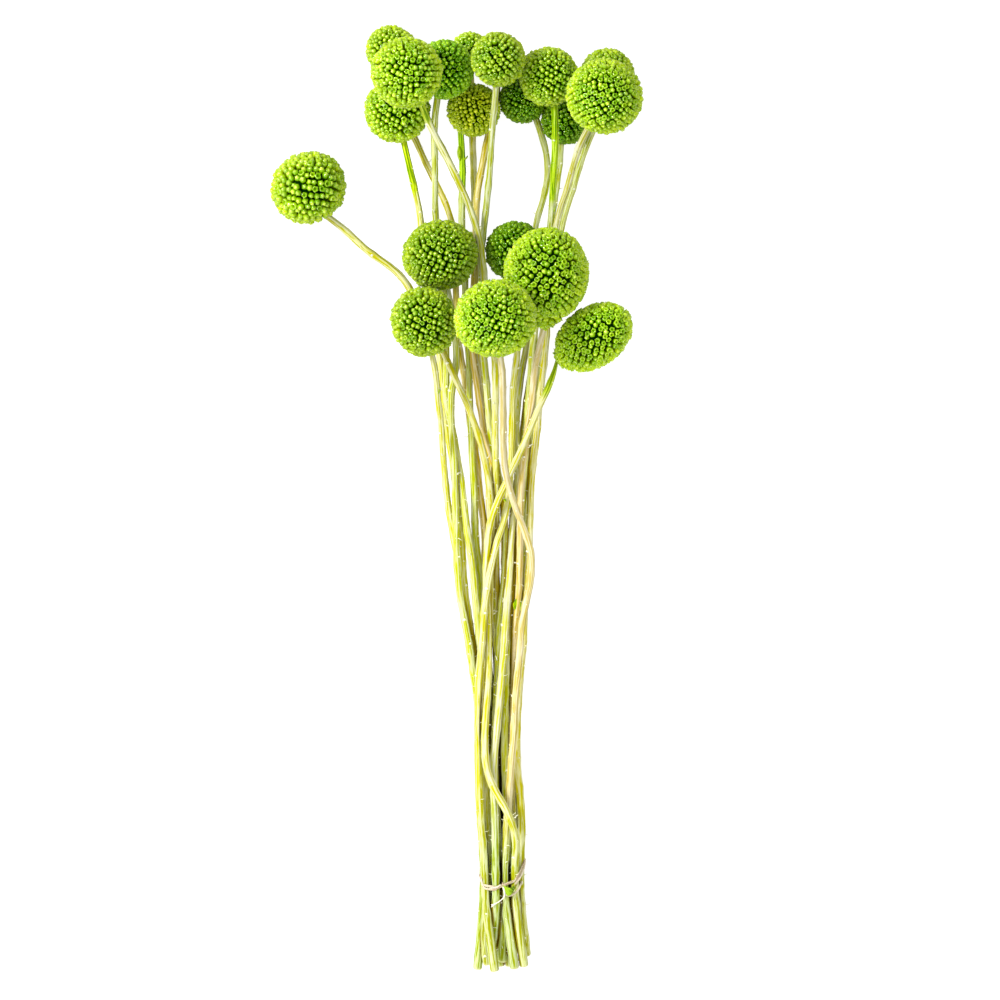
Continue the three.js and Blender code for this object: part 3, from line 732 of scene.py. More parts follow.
def floretObject(name, profile, draw):
    sides = 2 * floretFinish["lobes"]   # a corner on each lobe and one between two
    leanX, leanY = draw.gauss(0, floretFinish["lean"]), draw.gauss(0, floretFinish["lean"])
    rings, rises = [], []
    for radius, height, rise, lobing in profile[:-1]:
        ring = []
        for k in range(sides):
            turn = fullTurn * k / sides
            lobe = lobing * (1 - 2 * (k % 2))
            ragged = rise * draw.uniform(-1, 1) * floretFinish["ruggedness"]
            wide = radius * (1 + lobe + ragged)
            ring.append((wide * math.cos(turn) + leanX * rise, wide * math.sin(turn) + leanY * rise,
                         height + floretFinish["lobeLift"] * (lobe + ragged)))
        rings.append(ring)
        rises += [rise] * sides
    return floretPart(name, rings, (leanX, leanY, profile[-1][1]), rises + [profile[-1][2]])


def bractObject():
    sides = bractFinish["sides"]
    rings, rises = [], []
    for wide, height, rise in bractFinish["profile"]:
        turns = [fullTurn * k / sides for k in range(sides)]
        lean = bractFinish["bend"] * height * height
        rings.append([(wide * math.cos(turn), bractFinish["flatness"] * wide * math.sin(turn) + lean, height)
                      for turn in turns])
        rises += [rise] * sides
    return floretPart("bract", rings, bractFinish["tip"], rises + rises[-1:])


def makeFlorets():
    draw = random.Random(floretFinish["seed"])
    forms = ["closed"] * floretFinish["closedKinds"] + ["open"] * floretFinish["openKinds"]
    return kindsFrom("floretKinds", [
        floretObject("floret_%d_%s" % (place, form), floretForms[form], draw)
        for place, form in enumerate(forms)])


floretKinds = makeFlorets()
bractForm = bractObject()


def makeHeadTree():
    take, out = newTree(
        "head", "GeometryNodeTree",
        {"Count": 400, "Across": 0.015, "Along": 0.015, "Neck": 0.0, "Neck From": 0.86,
         "Neck Narrowing": 0.35, "Spacing": 0.003, "Open Share": 0.4, "Unevenness": 0.03, "Seed": 1,
         "Florets": "Collection", "Closed Kinds": 5, "Open Kinds": 3, "Depth": 1.25, "Tilt": 0.18,
         "Jitter": 0.1, "Bare From": 0.985, "Bract": "Object", "Bract Count": 12, "Bract Size": 0.003,
         "Bract Spread": 0.8, "Material": "Material"},
        {"Geometry": "Geometry"})
    vary = partial(randomNumber, take["Seed"])
    turn = times(add("GeometryNodeInputIndex"), goldenAngle)

    def spiral(height):
        # A place at a height on a ball of radius 1, each a golden angle on from the last.
        wide = calculate("SQRT", calculate("MAXIMUM", timesPlus(times(height, height), -1.0, 1.0), 0.0))
        return vector(times(wide, cosine(turn)), times(wide, sine(turn)), height)

    def onHead(direction, less):
        # The head's surface in a direction, a depth below its outline, with a slow unevenness.
        x, y, z = split(direction)
        neckShare = ramp(z, take["Neck From"], 1.0)
        hasNeck = calculate("GREATER_THAN", take["Neck"], 0.01 * mm)
        narrow = minus(1.0, times(times(neckShare, hasNeck), take["Neck Narrowing"]))
        rough = noise(direction, 1.6, 1.0, seed=times(take["Seed"], 3.7))
        uneven = timesPlus(minus(rough, 0.5), take["Unevenness"], 1.0)
        across = times(times(minus(take["Across"], less), narrow), uneven)
        along = times(minus(take["Along"], less), uneven)
        return vector(times(x, across), times(y, across),
                      timesPlus(z, along, times(take["Neck"], neckShare)))

    # florets in a golden-angle spiral from the far tip to the stem
    height = timesPlus(over(plus(add("GeometryNodeInputIndex"), 0.5), take["Count"]), -2.0, 1.0)
    unit = spiral(height)
    depth = times(take["Spacing"], take["Depth"])
    spread = times(take["Spacing"], take["Jitter"])
    jitter = vector(*(times(spread, vary(step, -1.0, 1.0)) for step in (0.0, 1.0, 2.0)))
    points = move(add("GeometryNodePoints", {"Count": take["Count"]}),
                  Position=vectorMath("ADD", onHead(unit, depth), jitter))
    outward = vectorMath("MULTIPLY", unit, vector(1.0, 1.0, over(take["Across"], take["Along"])))
    facing = turned(aimed(outward), *(times(take["Tilt"], vary(step, -1.0, 1.0)) for step in (3.0, 4.0)),
                    vary(5.0, 0.0, 6.28))
    size = times(take["Spacing"], vary(6.0, 0.9, 1.1))
    isOpen = calculate("LESS_THAN", vary(8.0, 0.0, 1.0), take["Open Share"])
    which = vary(13.0, 0.0, 0.999)
    closedKind = calculate("FLOOR", times(which, take["Closed Kinds"]))
    openKind = plus(calculate("FLOOR", times(which, take["Open Kinds"])), take["Closed Kinds"])
    kind = timesPlus(minus(openKind, closedKind), isOpen, closedKind)
    points = store(points, outward=outward, facing=facing, size=size, tone=vary(7.0, 0.0, 1.0), kind=kind)
    nextToStem = calculate("GREATER_THAN", height, take["Bare From"])
    points = add("GeometryNodeDeleteGeometry", {"Geometry": points, "Selection": nextToStem},
                 domain="POINT")
    florets = scatter(points, take["Florets"], read("facing", "QUATERNION"), read("size"), read("kind"))

    # scales of the neck, round the stem
    unit = spiral(vary(9.0, 0.93, 0.985))
    points = move(add("GeometryNodePoints", {"Count": take["Bract Count"]}),
                  Position=onHead(unit, times(take["Spacing"], 0.8)))
    points = store(points, outward=unit, tone=vary(12.0, 0.2, 0.9))
    standing = vector(times(take["Bract Spread"], cosine(turn)), times(take["Bract Spread"], sine(turn)),
                      vary(10.0, 0.4, 1.1))
    start = add("FunctionNodeEulerToRotation", {0: vector(0.0, 0.0, plus(turn, -math.pi / 2))})
    bracts = scatter(points, add("GeometryNodeObjectInfo", {"Object": take["Bract"]}, "Geometry"),
                     aimed(standing, Rotation=start), times(take["Bract Size"], vary(11.0, 0.6, 1.2)))

    # the core that the florets stand out of, in the painted shade of the gaps between them
    position = add("GeometryNodeInputPosition")
    ball = add("GeometryNodeMeshIcoSphere", {"Radius": 1.0, "Subdivisions": 4})
    core = move(store(ball, outward=position), Position=onHead(position, depth))
    return endTree(out, join(smoothShaded(core), bracts, florets), take["Material"])


# across, along and neck in mm as the solids have them, floret spacing in mm, share of open
# florets, finish, and how light the head is against the others
heads = {
    1: (11.2, 11.2, 0, 2.5, 0.2, "green", 0.94),
    2: (16, 16, 0, 2.9, 0.4, "green", 1.0),
    3: (14.7, 14.7, 0, 2.9, 0.3, "green", 1.0),
    4: (13.4, 13.4, 0, 2.6, 0.3, "deep_green", 1.3),
    5: (8.6, 8.6, 0, 2.3, 0.2, "green", 0.95),
    6: (12, 12, 0, 2.4, 0.4, "olive", 1.12),
    7: (12.3, 12.3, 0, 2.6, 0.4, "green", 0.78),
    8: (10.8, 10.8, 0, 2.4, 0.3, "deep_green", 1.0),
    9: (13.4, 13.4, 0, 2.6, 0.3, "green", 0.9),
    10: (10.8, 10.8, 0, 2.5, 0.4, "deep_green", 1.0),
    11: (12.3, 12.3, 0, 2.5, 0.3, "green", 0.85),
    12: (17.2, 16.8, 0, 2.7, 0.5, "green", 1.0),
    13: (17.2, 15.8, 0, 3.4, 0.25, "green", 0.96),
    14: (17, 15.6, 0, 2.8, 0.4, "green", 0.76),
    15: (13.4, 13.4, 0, 2.6, 0.3, "deep_green", 0.88),
    16: (19.1, 21.3, 3.6, 2.95, 0.7, "green", 1.0),
    17: (15, 15.7, 0, 2.8, 0.5, "green", 0.82),
    18: (18.6, 17.2, 0, 2.85, 0.55, "green", 1.0),
    19: (13.6, 19.4, 1.6, 2.75, 0.75, "green", 1.12),
    20: (9, 9, 0, 2.4, 0.3, "deep_green", 1.0),
}
headFinish = {
    "proud": 0.05 * mm,       # florets stand this far outside the solid's own outline
    "unevenness": 0.03,
    "tilt": 0.18,
    "jitter": 0.11,
    "packing": 0.866,         # of a floret's own area in the spiral, against its square
    "bracts": {16: (34, 3.6 * mm, 0.4), 19: (26, 3.0 * mm, 0.6)},   # count, size, spread
    "fewBracts": (12, 2.4 * mm, 0.7),
    "fittings": 12,
    "outermost": 55,          # per cent of the solid's corners that lie inside the rest
}


def headPlace(number, along, across, neck):
    # The middle of a head and the way to its stem's end. A ball is fitted through the solid's
    # outermost corners, in a space squeezed by the head's own size.
    corners = cornersOf(frame["nodes"]["head_%02d" % number].data)
    middle = (corners.min(0) + corners.max(0)) / 2
    for _ in range(headFinish["fittings"]):
        axis = normalised(stems[number][0][-1] - middle)
        offset = corners - middle
        lengthwise = offset @ axis
        reach = along + neck * (lengthwise > 0.5 * along)
        scaled = (offset - lengthwise[:, None] * axis) / across + (lengthwise / reach)[:, None] * axis
        share = np.linalg.norm(scaled, axis=1)
        outer = share > np.percentile(share, headFinish["outermost"])
        outer &= corners[:, 2] > 0.5 * mm
        rows = np.concatenate([2 * scaled[outer], np.ones((outer.sum(), 1))], axis=1)
        shift = np.linalg.lstsq(rows, (scaled[outer] ** 2).sum(1), rcond=None)[0][:3]
        shiftAlong = shift @ axis
        middle = middle + (shift - shiftAlong * axis) * across + shiftAlong * along * axis
    return middle, axis


def makeHeads():
    tree = makeHeadTree()
    empty = meshObject("seed", [(0, 0, 0)])
    triangles = 0
    for number, (*sizes, openShare, finish, tone) in heads.items():
        across, along, neck, spacing = (size * mm for size in sizes)
        middle, axis = headPlace(number, along, across, neck)
        across += headFinish["proud"]
        along += headFinish["proud"]
        area = fullTurn * across * (across + along)
        bractCount, bractSize, bractSpread = headFinish["bracts"].get(number, headFinish["fewBracts"])
        mesh = grow(empty, tree, floretFinish | headFinish | {
            "count": int(area / (headFinish["packing"] * spacing * spacing)), "across": across,
            "along": along, "neck": neck, "spacing": spacing, "openShare": openShare,
            "seed": 20 * number, "florets": floretKinds, "bract": bractForm, "bractCount": bractCount,
            "bractSize": bractSize, "bractSpread": bractSpread, "material": headMaterials[finish]})
        rotation = Vector(axis).to_track_quat("Z", "Y").to_matrix().to_4x4()
        mesh.transform(Matrix.Translation(middle) @ rotation)
        outward = np.empty(len(mesh.vertices) * 3)
        mesh.attributes["outward"].data.foreach_get("vector", outward)
        outward = outward.reshape(-1, 3) @ np.array(rotation.to_3x3()).T
        setValues(mesh, "outward", normalised(outward))
        setValues(mesh, "headTone", tone)
        triangles += finishPiece("florets_%02d" % number, mesh, ["head_%02d" % number])
    bpy.data.objects.remove(empty)
    print("heads made:", triangles, "triangles")


makeHeads()


# stems
# finish, lime length and tone are given for single stems; the others are plain yellow_green
stemFinish = {
    "ribs": 7,
    "ribDepth": 0.17,
    "ringPoints": 28,         # four to a rib
    "twist": 7.0,             # radians for each metre
    "roughness": 0.22 * mm,
    "kink": 0.45 * mm,
    "kinkReach": 20 * mm,
    "scarSpacing": (5 * mm, 15 * mm),
    "bareTop": 8 * mm,        # no leaf scar so near the head
    "swelling": 0.18,
    "swellingReach": 2.2 * mm,
    "fullness": 1.07,         # ribs stand a little outside a ring of the solid's own area
    "intoHead": 2 * mm,
    "hairDensity": 14000.0,   # for each square metre of skin
    "hairLength": 1.8 * mm,
    "closeReach": 2.1 * mm,   # within this of another stem the skin takes painted shade
    "held": (-0.13, 0.08),    # the y up to which the tie lets no stem kink, and where that wears off
    # the rounded edge of the cut end: depth, share of the full width, share of the pith's colour
    "cutEdge": [(0.0, 0.35, 1.0), (0.1 * mm, 0.68, 1.0), (0.4 * mm, 0.88, 0.6), (1.1 * mm, 1.0, 0.1)],
    "finish": {1: "tan", 5: "cream", 8: "cream", 16: "tan", 18: "tan", 20: "tan"},
    "lime": {2: 12, 3: 26, 6: 30, 9: 45, 19: 18},   # mm under the head
    "tone": {13: 0.86},       # darker than the others
}
hairLines = [
    [(-0.1, 0, 0), (0.35, 0.03, 0.1), (0.7, 0.0, 0.3), (0.9, -0.1, 0.6)],
    [(-0.1, 0, 0), (0.3, 0.12, 0.1), (0.45, 0.4, 0.1), (0.3, 0.7, 0.0)],
    [(-0.1, 0, 0), (0.4, -0.1, -0.1), (0.8, 0.1, 0.05), (1.1, 0.1, 0.35)],
]
# What leaves left behind: a dry ledge or one of two short threads. X points out of the stem, Z
# runs towards the head.
scarLedge = {
    "points": [(-0.5, -0.9, -0.3), (0.15, -0.75, 0.0), (0.5, 0.0, 0.15), (0.15, 0.75, 0.0),
               (-0.5, 0.9, -0.3), (-0.5, -0.6, 0.5), (0.05, -0.5, 0.45), (0.25, 0.0, 0.75),
               (0.05, 0.5, 0.4), (-0.5, 0.6, 0.5), (-0.5, 0.0, -0.9)],
    "faces": [(0, 1, 6, 5), (1, 2, 7, 6), (2, 3, 8, 7), (3, 4, 9, 8), (5, 6, 7), (7, 8, 9), (5, 7, 9),
              (0, 10, 1), (1, 10, 2), (2, 10, 3), (3, 10, 4), (0, 5, 9), (0, 9, 4), (0, 4, 10)],
}
scarLines = [
    [(-0.4, 0, 0), (0.6, 0.1, 0.5), (1.2, 0.1, 1.3), (1.5, -0.3, 2.1)],
    [(-0.4, 0, 0), (0.7, -0.2, -0.1), (1.5, 0.3, 0.5), (2.4, 0.5, 0.4)],
]


def threadObject(name, line, wides, sides):
    # A tapering dry thread along a line.
    turns = [fullTurn * k / sides for k in range(sides)]
    return tubeObject(name, [[(x, y + wide * math.cos(turn), z + wide * math.sin(turn)) for turn in turns]
                             for (x, y, z), wide in zip(line, wides)])


def makeStemTree():
    take, out = newTree(
        "stem", "GeometryNodeTree",
        {"Route": "Geometry", "Ribs": 7, "Rib Depth": 0.07, "Ring Points": 28, "Twist": 20.0,
         "Roughness": 0.0001, "Scars": "Collection", "Hairs": "Collection", "Hair Density": 14000.0,
         "Hair Length": 0.0018, "Seed": 1, "Number": 0.0, "Material": "Material"},
        {"Geometry": "Geometry"})
    vary = partial(randomNumber, take["Seed"])
    number, ribDepth = take["Number"], take["Rib Depth"]
    curve = add("GeometryNodeMeshToCurve", {"Mesh": take["Route"]})
    curve = add("GeometryNodeSetCurveRadius", {"Curve": curve, "Radius": read("thick")})
    curve = add("GeometryNodeSetCurveTilt", {"Curve": curve, "Tilt": times(read("walked"), take["Twist"])})

    # a ribbed ring, a little different for each stem
    ring, turn = circle(take["Ring Points"])
    half = times(times(turn, take["Ribs"]), 0.5)
    rib = minus(1.0, calculate("ABSOLUTE", sine(half)))
    strong = timesPlus(cosine(timesPlus(turn, 3.0, number)), 0.4, 0.8)
    reach = timesPlus(times(rib, strong), ribDepth, timesPlus(ribDepth, -0.45, 1.0))
    uneven = timesPlus(sine(plus(turn, number)), 0.2, turn)
    uneven = timesPlus(sine(timesPlus(turn, 2.0, times(number, 2.3))), 0.12, uneven)
    ring = move(ring, Position=vector(times(reach, cosine(uneven)), times(reach, sine(uneven))))
    # the rib value, 1 on a rib's top, also sets the painted shade of the grooves
    skin = sweep(curve, store(ring, rib=rib), turn, 1.0, (1.0, 1.0, 90.0), 1.3, number, take["Roughness"])

    # leaf scars where the route marks them
    marks = add("GeometryNodeMeshToPoints", {"Mesh": take["Route"], "Selection": read("mark")})
    facing = turned(aimed(read("heading", "FLOAT_VECTOR")), 0.0, 0.0, vary(0.0, 0.0, 6.28))
    outwards = add("FunctionNodeRotateVector", {0: (1.0, 0.0, 0.0), 1: facing})
    marks = move(store(marks, facing=facing),
                 Offset=vectorMath("SCALE", outwards, read("thick")))
    kind = calculate("MAXIMUM", calculate("FLOOR", vary(5.0, -2.0, 2.99)), 0.0)
    scars = scatter(marks, take["Scars"], read("facing", "QUATERNION"),
                    vary(1.0, 0.4 * mm, 1.05 * mm), kind)

    # fine dry hairs all over
    spots = add("GeometryNodeDistributePointsOnFaces", {
        "Mesh": skin, "Density": take["Hair Density"], "Seed": take["Seed"]}).node.outputs
    standing = turned(spots["Rotation"], vary(7.0, 0.0, 6.28), -math.pi / 2, 0.0)
    hairs = scatter(spots["Points"], take["Hairs"], standing,
                    times(take["Hair Length"], vary(8.0, 0.35, 1.2)),
                    calculate("FLOOR", vary(9.0, 0.0, 2.99)))
    # hairs and leaf scars count as rib tops for the painted light of the ribs
    dry = join(store(realized(hairs), scar=0.7), store(realized(scars), scar=0.85))
    whole = store(join(store(dry, rib=0.8), skin), stemNumber=number)
    return endTree(out, whole, take["Material"])


def stemRoute(number):
    # The route with its kinks and swellings, the rounded cut end and the lime length.
    draw = random.Random(100 + number)
    points, marks = evenly(stems[number][0], routeReading["spacing"])
    heading = normalised(points[-1] - points[-2])
    points = np.concatenate([points, [points[-1] + heading * stemFinish["intoHead"]]])
    marks = np.concatenate([marks, [marks[-1] + stemFinish["intoHead"]]])
    thick = resampled(stems[number][1], len(points)) * stemFinish["fullness"]
    scar = np.zeros(len(points))
    bend = np.zeros((len(points), 3))
    at = draw.uniform(*stemFinish["scarSpacing"])
    while at < marks[-1] - stemFinish["bareTop"]:
        near = int(np.argmin(abs(marks - at)))
        scar[near] = 1
        distance = abs(marks - marks[near])
        swelling = stemFinish["swelling"] * draw.uniform(0.3, 1)
        thick += thick * swelling * np.exp(-(distance / stemFinish["swellingReach"]) ** 2)
        way = np.array([draw.uniform(-1, 1), 0, draw.uniform(-1, 1)]) * stemFinish["kink"]
        bend += way * np.clip(1 - distance / stemFinish["kinkReach"], 0, 1)[:, None]
        at += draw.uniform(*stemFinish["scarSpacing"])
    heldUntil, wearsOff = stemFinish["held"]
    free = np.clip((points[:, 1] - heldUntil) / wearsOff, 0, 1)
    free *= np.clip((marks[-1] - marks) / (10 * mm), 0, 1)
    points = points + bend * free[:, None]
    # the cut end: rings across the pith and round the edge
    depths, wides, pith = np.array(stemFinish["cutEdge"]).T
    heading = normalised(points[1] - points[0])
    points = np.concatenate([points[0] + heading * depths[:, None], points[1:]])
    walked = np.concatenate([depths, marks[1:]])
    thick = np.concatenate([thick[0] * wides, thick[1:]])
    scar = np.concatenate([0 * depths, scar[1:]])
    reach = stemFinish["lime"].get(number, 0) * mm
    lime = np.clip((reach - (walked[-1] - walked)) / (3 * mm) + 0.5, 0, 1) * (reach > 0)
    return lineObject(
        points, False, thick=thick, walked=walked, lime=lime, mark=scar,
        cut=np.concatenate([pith, np.zeros(len(marks) - 1)]),
        heading=normalised(np.gradient(points, axis=0)))


def closenessOf(mesh, number):
    # How much a place on a stem is shut in between the others, 1 where it touches them; the stems' finish
    # lays painted shade by it.
    places = cornersOf(mesh)
    free = np.ones(len(places))
    for other, (line, radii) in stems.items():
        if other == number:
            continue
        y = np.maximum.accumulate(line[:, 1])
        middleX, middleZ, radius = (np.interp(places[:, 1], y, values)
                                    for values in (line[:, 0], line[:, 2], radii))
        apart = np.hypot(places[:, 0] - middleX, places[:, 2] - middleZ) - radius
        beside = (places[:, 1] > y[0]) & (places[:, 1] < y[-1])
        free *= 1 - beside * np.clip(1 - apart / stemFinish["closeReach"], 0, 1)
    return 1 - free


def makeStems():
    tree = makeStemTree()
    ledge = meshObject("scar_0", scarLedge["points"], scarLedge["faces"])
    threads = [threadObject("scar_%d" % kind, line, (0.36, 0.27, 0.18, 0.09), 4)
               for kind, line in enumerate(scarLines, 1)]
    scarKinds = kindsFrom("scarKinds", [ledge] + threads)
    hairKinds = kindsFrom("hairKinds", [
        threadObject("hair_%d" % kind, line, (0.09, 0.075, 0.06, 0.035), 3)
        for kind, line in enumerate(hairLines)])
    triangles = 0
    for number in stems:
        finish = stemFinish["finish"].get(number, "yellow_green")
        route = stemRoute(number)
        mesh = grow(route, tree, stemFinish | {
            "scars": scarKinds, "hairs": hairKinds, "seed": number, "number": 1.7 * number,
            "material": stemMaterials[finish]})
        setValues(mesh, "closeness", closenessOf(mesh, number))
        setValues(mesh, "stemTone", stemFinish["tone"].get(number, 1.0))
        bpy.data.objects.remove(route)
        triangles += finishPiece("stalk_%02d" % number, mesh, ["stem_%02d" % number])
    dropKinds(scarKinds)
    dropKinds(hairKinds)
    print("stems made:", triangles, "triangles")


makeStems()


# green remnants of leaves that still sit on a few stems
# stem, y in mm along the bunch, side in degrees round the stem (0 right, 90 up, 180 left), length
# in mm, lean away from the stem in radians
shoots = [
    (6, 153.4, 165, 7.5, 0.16), (6, 151.5, 30, 3.2, 0.9), (6, 146.5, 50, 2.8, -0.7),
    (15, -4.5, 60, 2.6, 0.5), (15, -3, 140, 3, 0.9), (15, -6.5, 170, 2.4, -0.5),
    (16, -50, 70, 7, 0.14), (17, 47, 40, 3, 0.5), (9, 128, 20, 3.4, 0.4), (13, 84, 200, 3, 0.6),
]
# rib: how much of the ribs' painted light the shoots get, as on a rib's flank
shootFinish = {"lime": 0.9, "stemTone": 1.0, "rib": 0.4}


def makeShoots():
    parts = []
    for number, y, side, length, lean in shoots:
        points, radii = stems[number]
        near = int(np.argmin(abs(points[:, 1] - y * mm)))
        along = Vector(points[near + 1] - points[near - 1]).normalized()
        right = along.cross(Vector((0, 0, 1))).normalized()
        side = math.radians(side)
        out = right * math.cos(side) + right.cross(along) * math.sin(side)
        reach = (along * math.cos(lean) + out * math.sin(lean)).normalized()
        across = reach.cross(out).normalized()
        rotation = Matrix((across, reach.cross(across), reach)).transposed().to_4x4()
        foot = Vector(points[near]) + out * radii[near] * 0.8
        mesh = bractForm.data.copy()
        mesh.transform(Matrix.Translation(foot) @ rotation @ Matrix.Scale(length * mm, 4))
        parts.append(mesh)
    mesh = joinMeshes(parts)
    mesh.materials.append(stemMaterials["yellow_green"])
    setValues(mesh, "skinPlace", cornersOf(mesh)[:, [0, 2, 1]] * (0.5 / mm, 0.5 / mm, 1))
    for name, value in shootFinish.items():
        setValues(mesh, name, value)
    finishPiece("shoots", mesh, [])
    print("shoots made:", len(shoots))


makeShoots()
dropKinds(floretKinds)
bpy.data.objects.remove(bractForm)


# the raffia tie
raffiaColours = {
    "light": (236, 224, 190),
    "dark": (146, 108, 60),
    "blotch": (208, 184, 136),
    "crest": (255, 250, 234),      # painted highlight in pale streaks, and also the colour of the peeled strand that ends in the loose tail
}
raffiaFinish = {
    "low": 37.2 * mm,          # from the longest cut end to where the front of the band is lowest
    # how far the front stands over its lowest place, from the bundle's left side to its right, in mm
    "front": [(-1, 5.8), (-0.87, 1.6), (-0.65, 0), (-0.3, 0.4), (0, 1.2), (0.3, 1.8), (0.52, 2.8),
              (0.65, 5), (0.87, 8.8), (1, 13)],
    "bandSteps": 180,
    "step": 0.6 * mm,
    "lift": 0.15 * mm,
    # for each strand of the band in mm: width, thickness, how far it is shifted up the stems and
    # the height of the waves in which the strands cross each other; and the turn of these waves
    "strands": [(1.1, 0.3, 0.3, 0.4, 0.0), (1.0, 0.28, -0.35, 0.45, 3.1), (0.6, 0.24, 0.0, 0.75, 1.6)],
    "strandWidths": [1, 0.85, 1.1, 0.9, 1.05, 1],
    "waves": 8,
    "knot": (0.3, -0.6, 0.7),  # mm right of, up from and over the left tip of the leaf scrap it holds
    "knotTurns": (-0.3, 0.35),   # two turns round it: how far each one leans
    "knotReach": (0.2, 1.2, 0.6),
    "sides": 12,
    "raggedness": 0.2 * mm,
    "span": 1.2 * mm,          # gaps between stems that a loose end lies across
}
# loose ends: for each point of their lines, steps right and up from the knot and the lift over the
# stems in mm, and the share of the full width; how much of the brown skin is gone
looseEnds = [
    {"line": [(-0.1, -0.3, 0.8, 1.4), (0.6, -2.2, 0.9, 1.5), (1.0, -4.6, 0.7, 1.1), (0.2, -6, 0.8, 0.8),
              (-1.4, -7.3, 0.8, 0.7), (-3.6, -8.7, 0.8, 0.8), (-5.1, -9.2, 1.0, 1.5)],
     "width": 0.62, "stripped": 0.9},
    {"line": [(-3.2, -8.2, 0.6, 0.8), (-4.3, -8.9, 0.8, 1.2), (-5.2, -10, 0.9, 0.5)],
     "width": 0.6, "stripped": 0.95},
    {"line": [(0.9, -4.4, 0.5, 0.8), (2.3, -4.9, 0.6, 1.1), (4.0, -4.7, 0.6, 1), (5.6, -3.7, 0.6, 1.1),
              (7.1, -2, 0.6, 0.9), (7.9, -0.2, 0.5, 0.9), (8.6, 1.8, 0.3, 0.7)],
     "width": 0.85, "stripped": 0.25},
    {"line": [(5.6, 0.4, 0.5, 0.8), (7.4, 2.8, 0.5, 1.2), (8.9, 5.8, 0.6, 1.1), (9.8, 8.4, 0.5, 0.9),
              (10.2, 11.0, 0.4, 0.5)],
     "width": 0.9, "stripped": 0.3},
    {"line": [(-1, 0.1, 0.9, 0.9), (-2.4, -0.9, 0.9, 1.1), (-4.2, -1.3, 0.9, 1), (-6.2, -1.5, 0.5, 0.5)],
     "width": 0.7, "stripped": 0.5},
]


def makeRaffiaMaterial():
    material, surface = newMaterial("raffia", Specular_IOR_Level=0.3, Roughness=0.7)
    shade = placeGroup(fibreShade, colourInputs(raffiaColours) | {
        "Blotch Share": 0.4, "Crest Share": 0.6, "Stretch": 120.0, "Seed": 3.0})
    colour = blend(attribute("stripped"), shade["Colour"], sRgb(raffiaColours["crest"]))
    feed(surface, {"Base Color": colour, "Normal": bump(shade["Streak"], 0.7)})
    return material


def stemAt(number, y):
    # Where a stem's middle is and how thick it is, at one distance up the bunch.
    points, radii = stems[number]
    rising = slice(0, len(points) // 2)
    x, z, radius = (np.interp(y, points[rising, 1], line[rising])
                    for line in (points[:, 0], points[:, 2], radii))
    return np.array([x, y, z]), radius * stemFinish["fullness"]


def bandHeights(across, front):
    # How far up the bunch the band runs, from -1 on the left side of the bundle to 1 on its right.
    places, heights = zip(*raffiaFinish["front"])
    seen = np.interp(across, places, heights)
    hidden = np.interp(across, (-1, 1), (heights[0], heights[-1]))
    return cadBox[0][1] + raffiaFinish["low"] + np.where(front, seen, hidden) * mm


def topAt(x, y, around=0.0):
    # The height of the uppermost stem's skin at a place seen from above, or near it.
    best = 0
    for number in stems:
        centre, radius = stemAt(number, y)
        aside = max(0.0, abs(centre[0] - x) - around)
        if aside < radius:
            best = max(best, centre[2] + math.sqrt(radius ** 2 - aside ** 2))
    return best


def bandRoute(shift, wave, phase):
    # Once round the bundle, carried at each angle by the stem that is outermost there.
    held = [stemAt(number, cadBox[0][1] + raffiaFinish["low"]) for number in stems]
    left = min(centre[0] - radius for centre, radius in held)
    right = max(centre[0] + radius for centre, radius in held)
    angles = np.linspace(0, fullTurn, raffiaFinish["bandSteps"], endpoint=False)
    swings = raffiaFinish["waves"] * angles + phase
    ways = np.column_stack([np.cos(angles), 0 * angles, np.sin(angles)])
    levels = bandHeights(np.cos(angles), ways[:, 2] > 0)
    outermost = []
    for way, level in zip(ways, levels):
        reaches = {number: centre @ way + radius for number in stems
                   for centre, radius in [stemAt(number, level)]}
        outermost.append(max(reaches, key=reaches.get))
    for _ in range(4):
        route = []
        for number, way, swing, level in zip(outermost, ways, swings, levels):
            centre, radius = stemAt(number, level + shift + wave * math.sin(swing))
            route.append(centre + way * (radius * 1.04 + raffiaFinish["lift"] * (1.6 + math.cos(swing))))
        route = np.array(route)
        levels = bandHeights((route[:, 0] - (left + right) / 2) / ((right - left) / 2), ways[:, 2] > 0)
    return route


def strandObject(route, closed, widths, out=None, stripped=0.0):
    # A route for a ribbon, with the way that its flat side faces. out is None where that is
    # away from the middle of the route.
    points, marks = evenly(np.concatenate([route, route[:1]]) if closed else route, raffiaFinish["step"])
    if closed:
        points = points[:-1]
        for _ in range(3):
            points = 0.5 * points + 0.25 * (np.roll(points, 1, axis=0) + np.roll(points, -1, axis=0))
        ahead = np.roll(points, -1, axis=0) - np.roll(points, 1, axis=0)
    else:
        points = smoothed(points, 3)
        ahead = np.gradient(points, axis=0)
    ahead = normalised(ahead)
    facing = (points - points.mean(0)) * (1, 0, 1) if out is None else np.tile(out, (len(points), 1))
    facing = facing - (facing * ahead).sum(1)[:, None] * ahead
    return lineObject(points, closed, walked=marks[:len(points)], thick=resampled(widths, len(points)),
                      stripped=stripped, facing=normalised(facing))


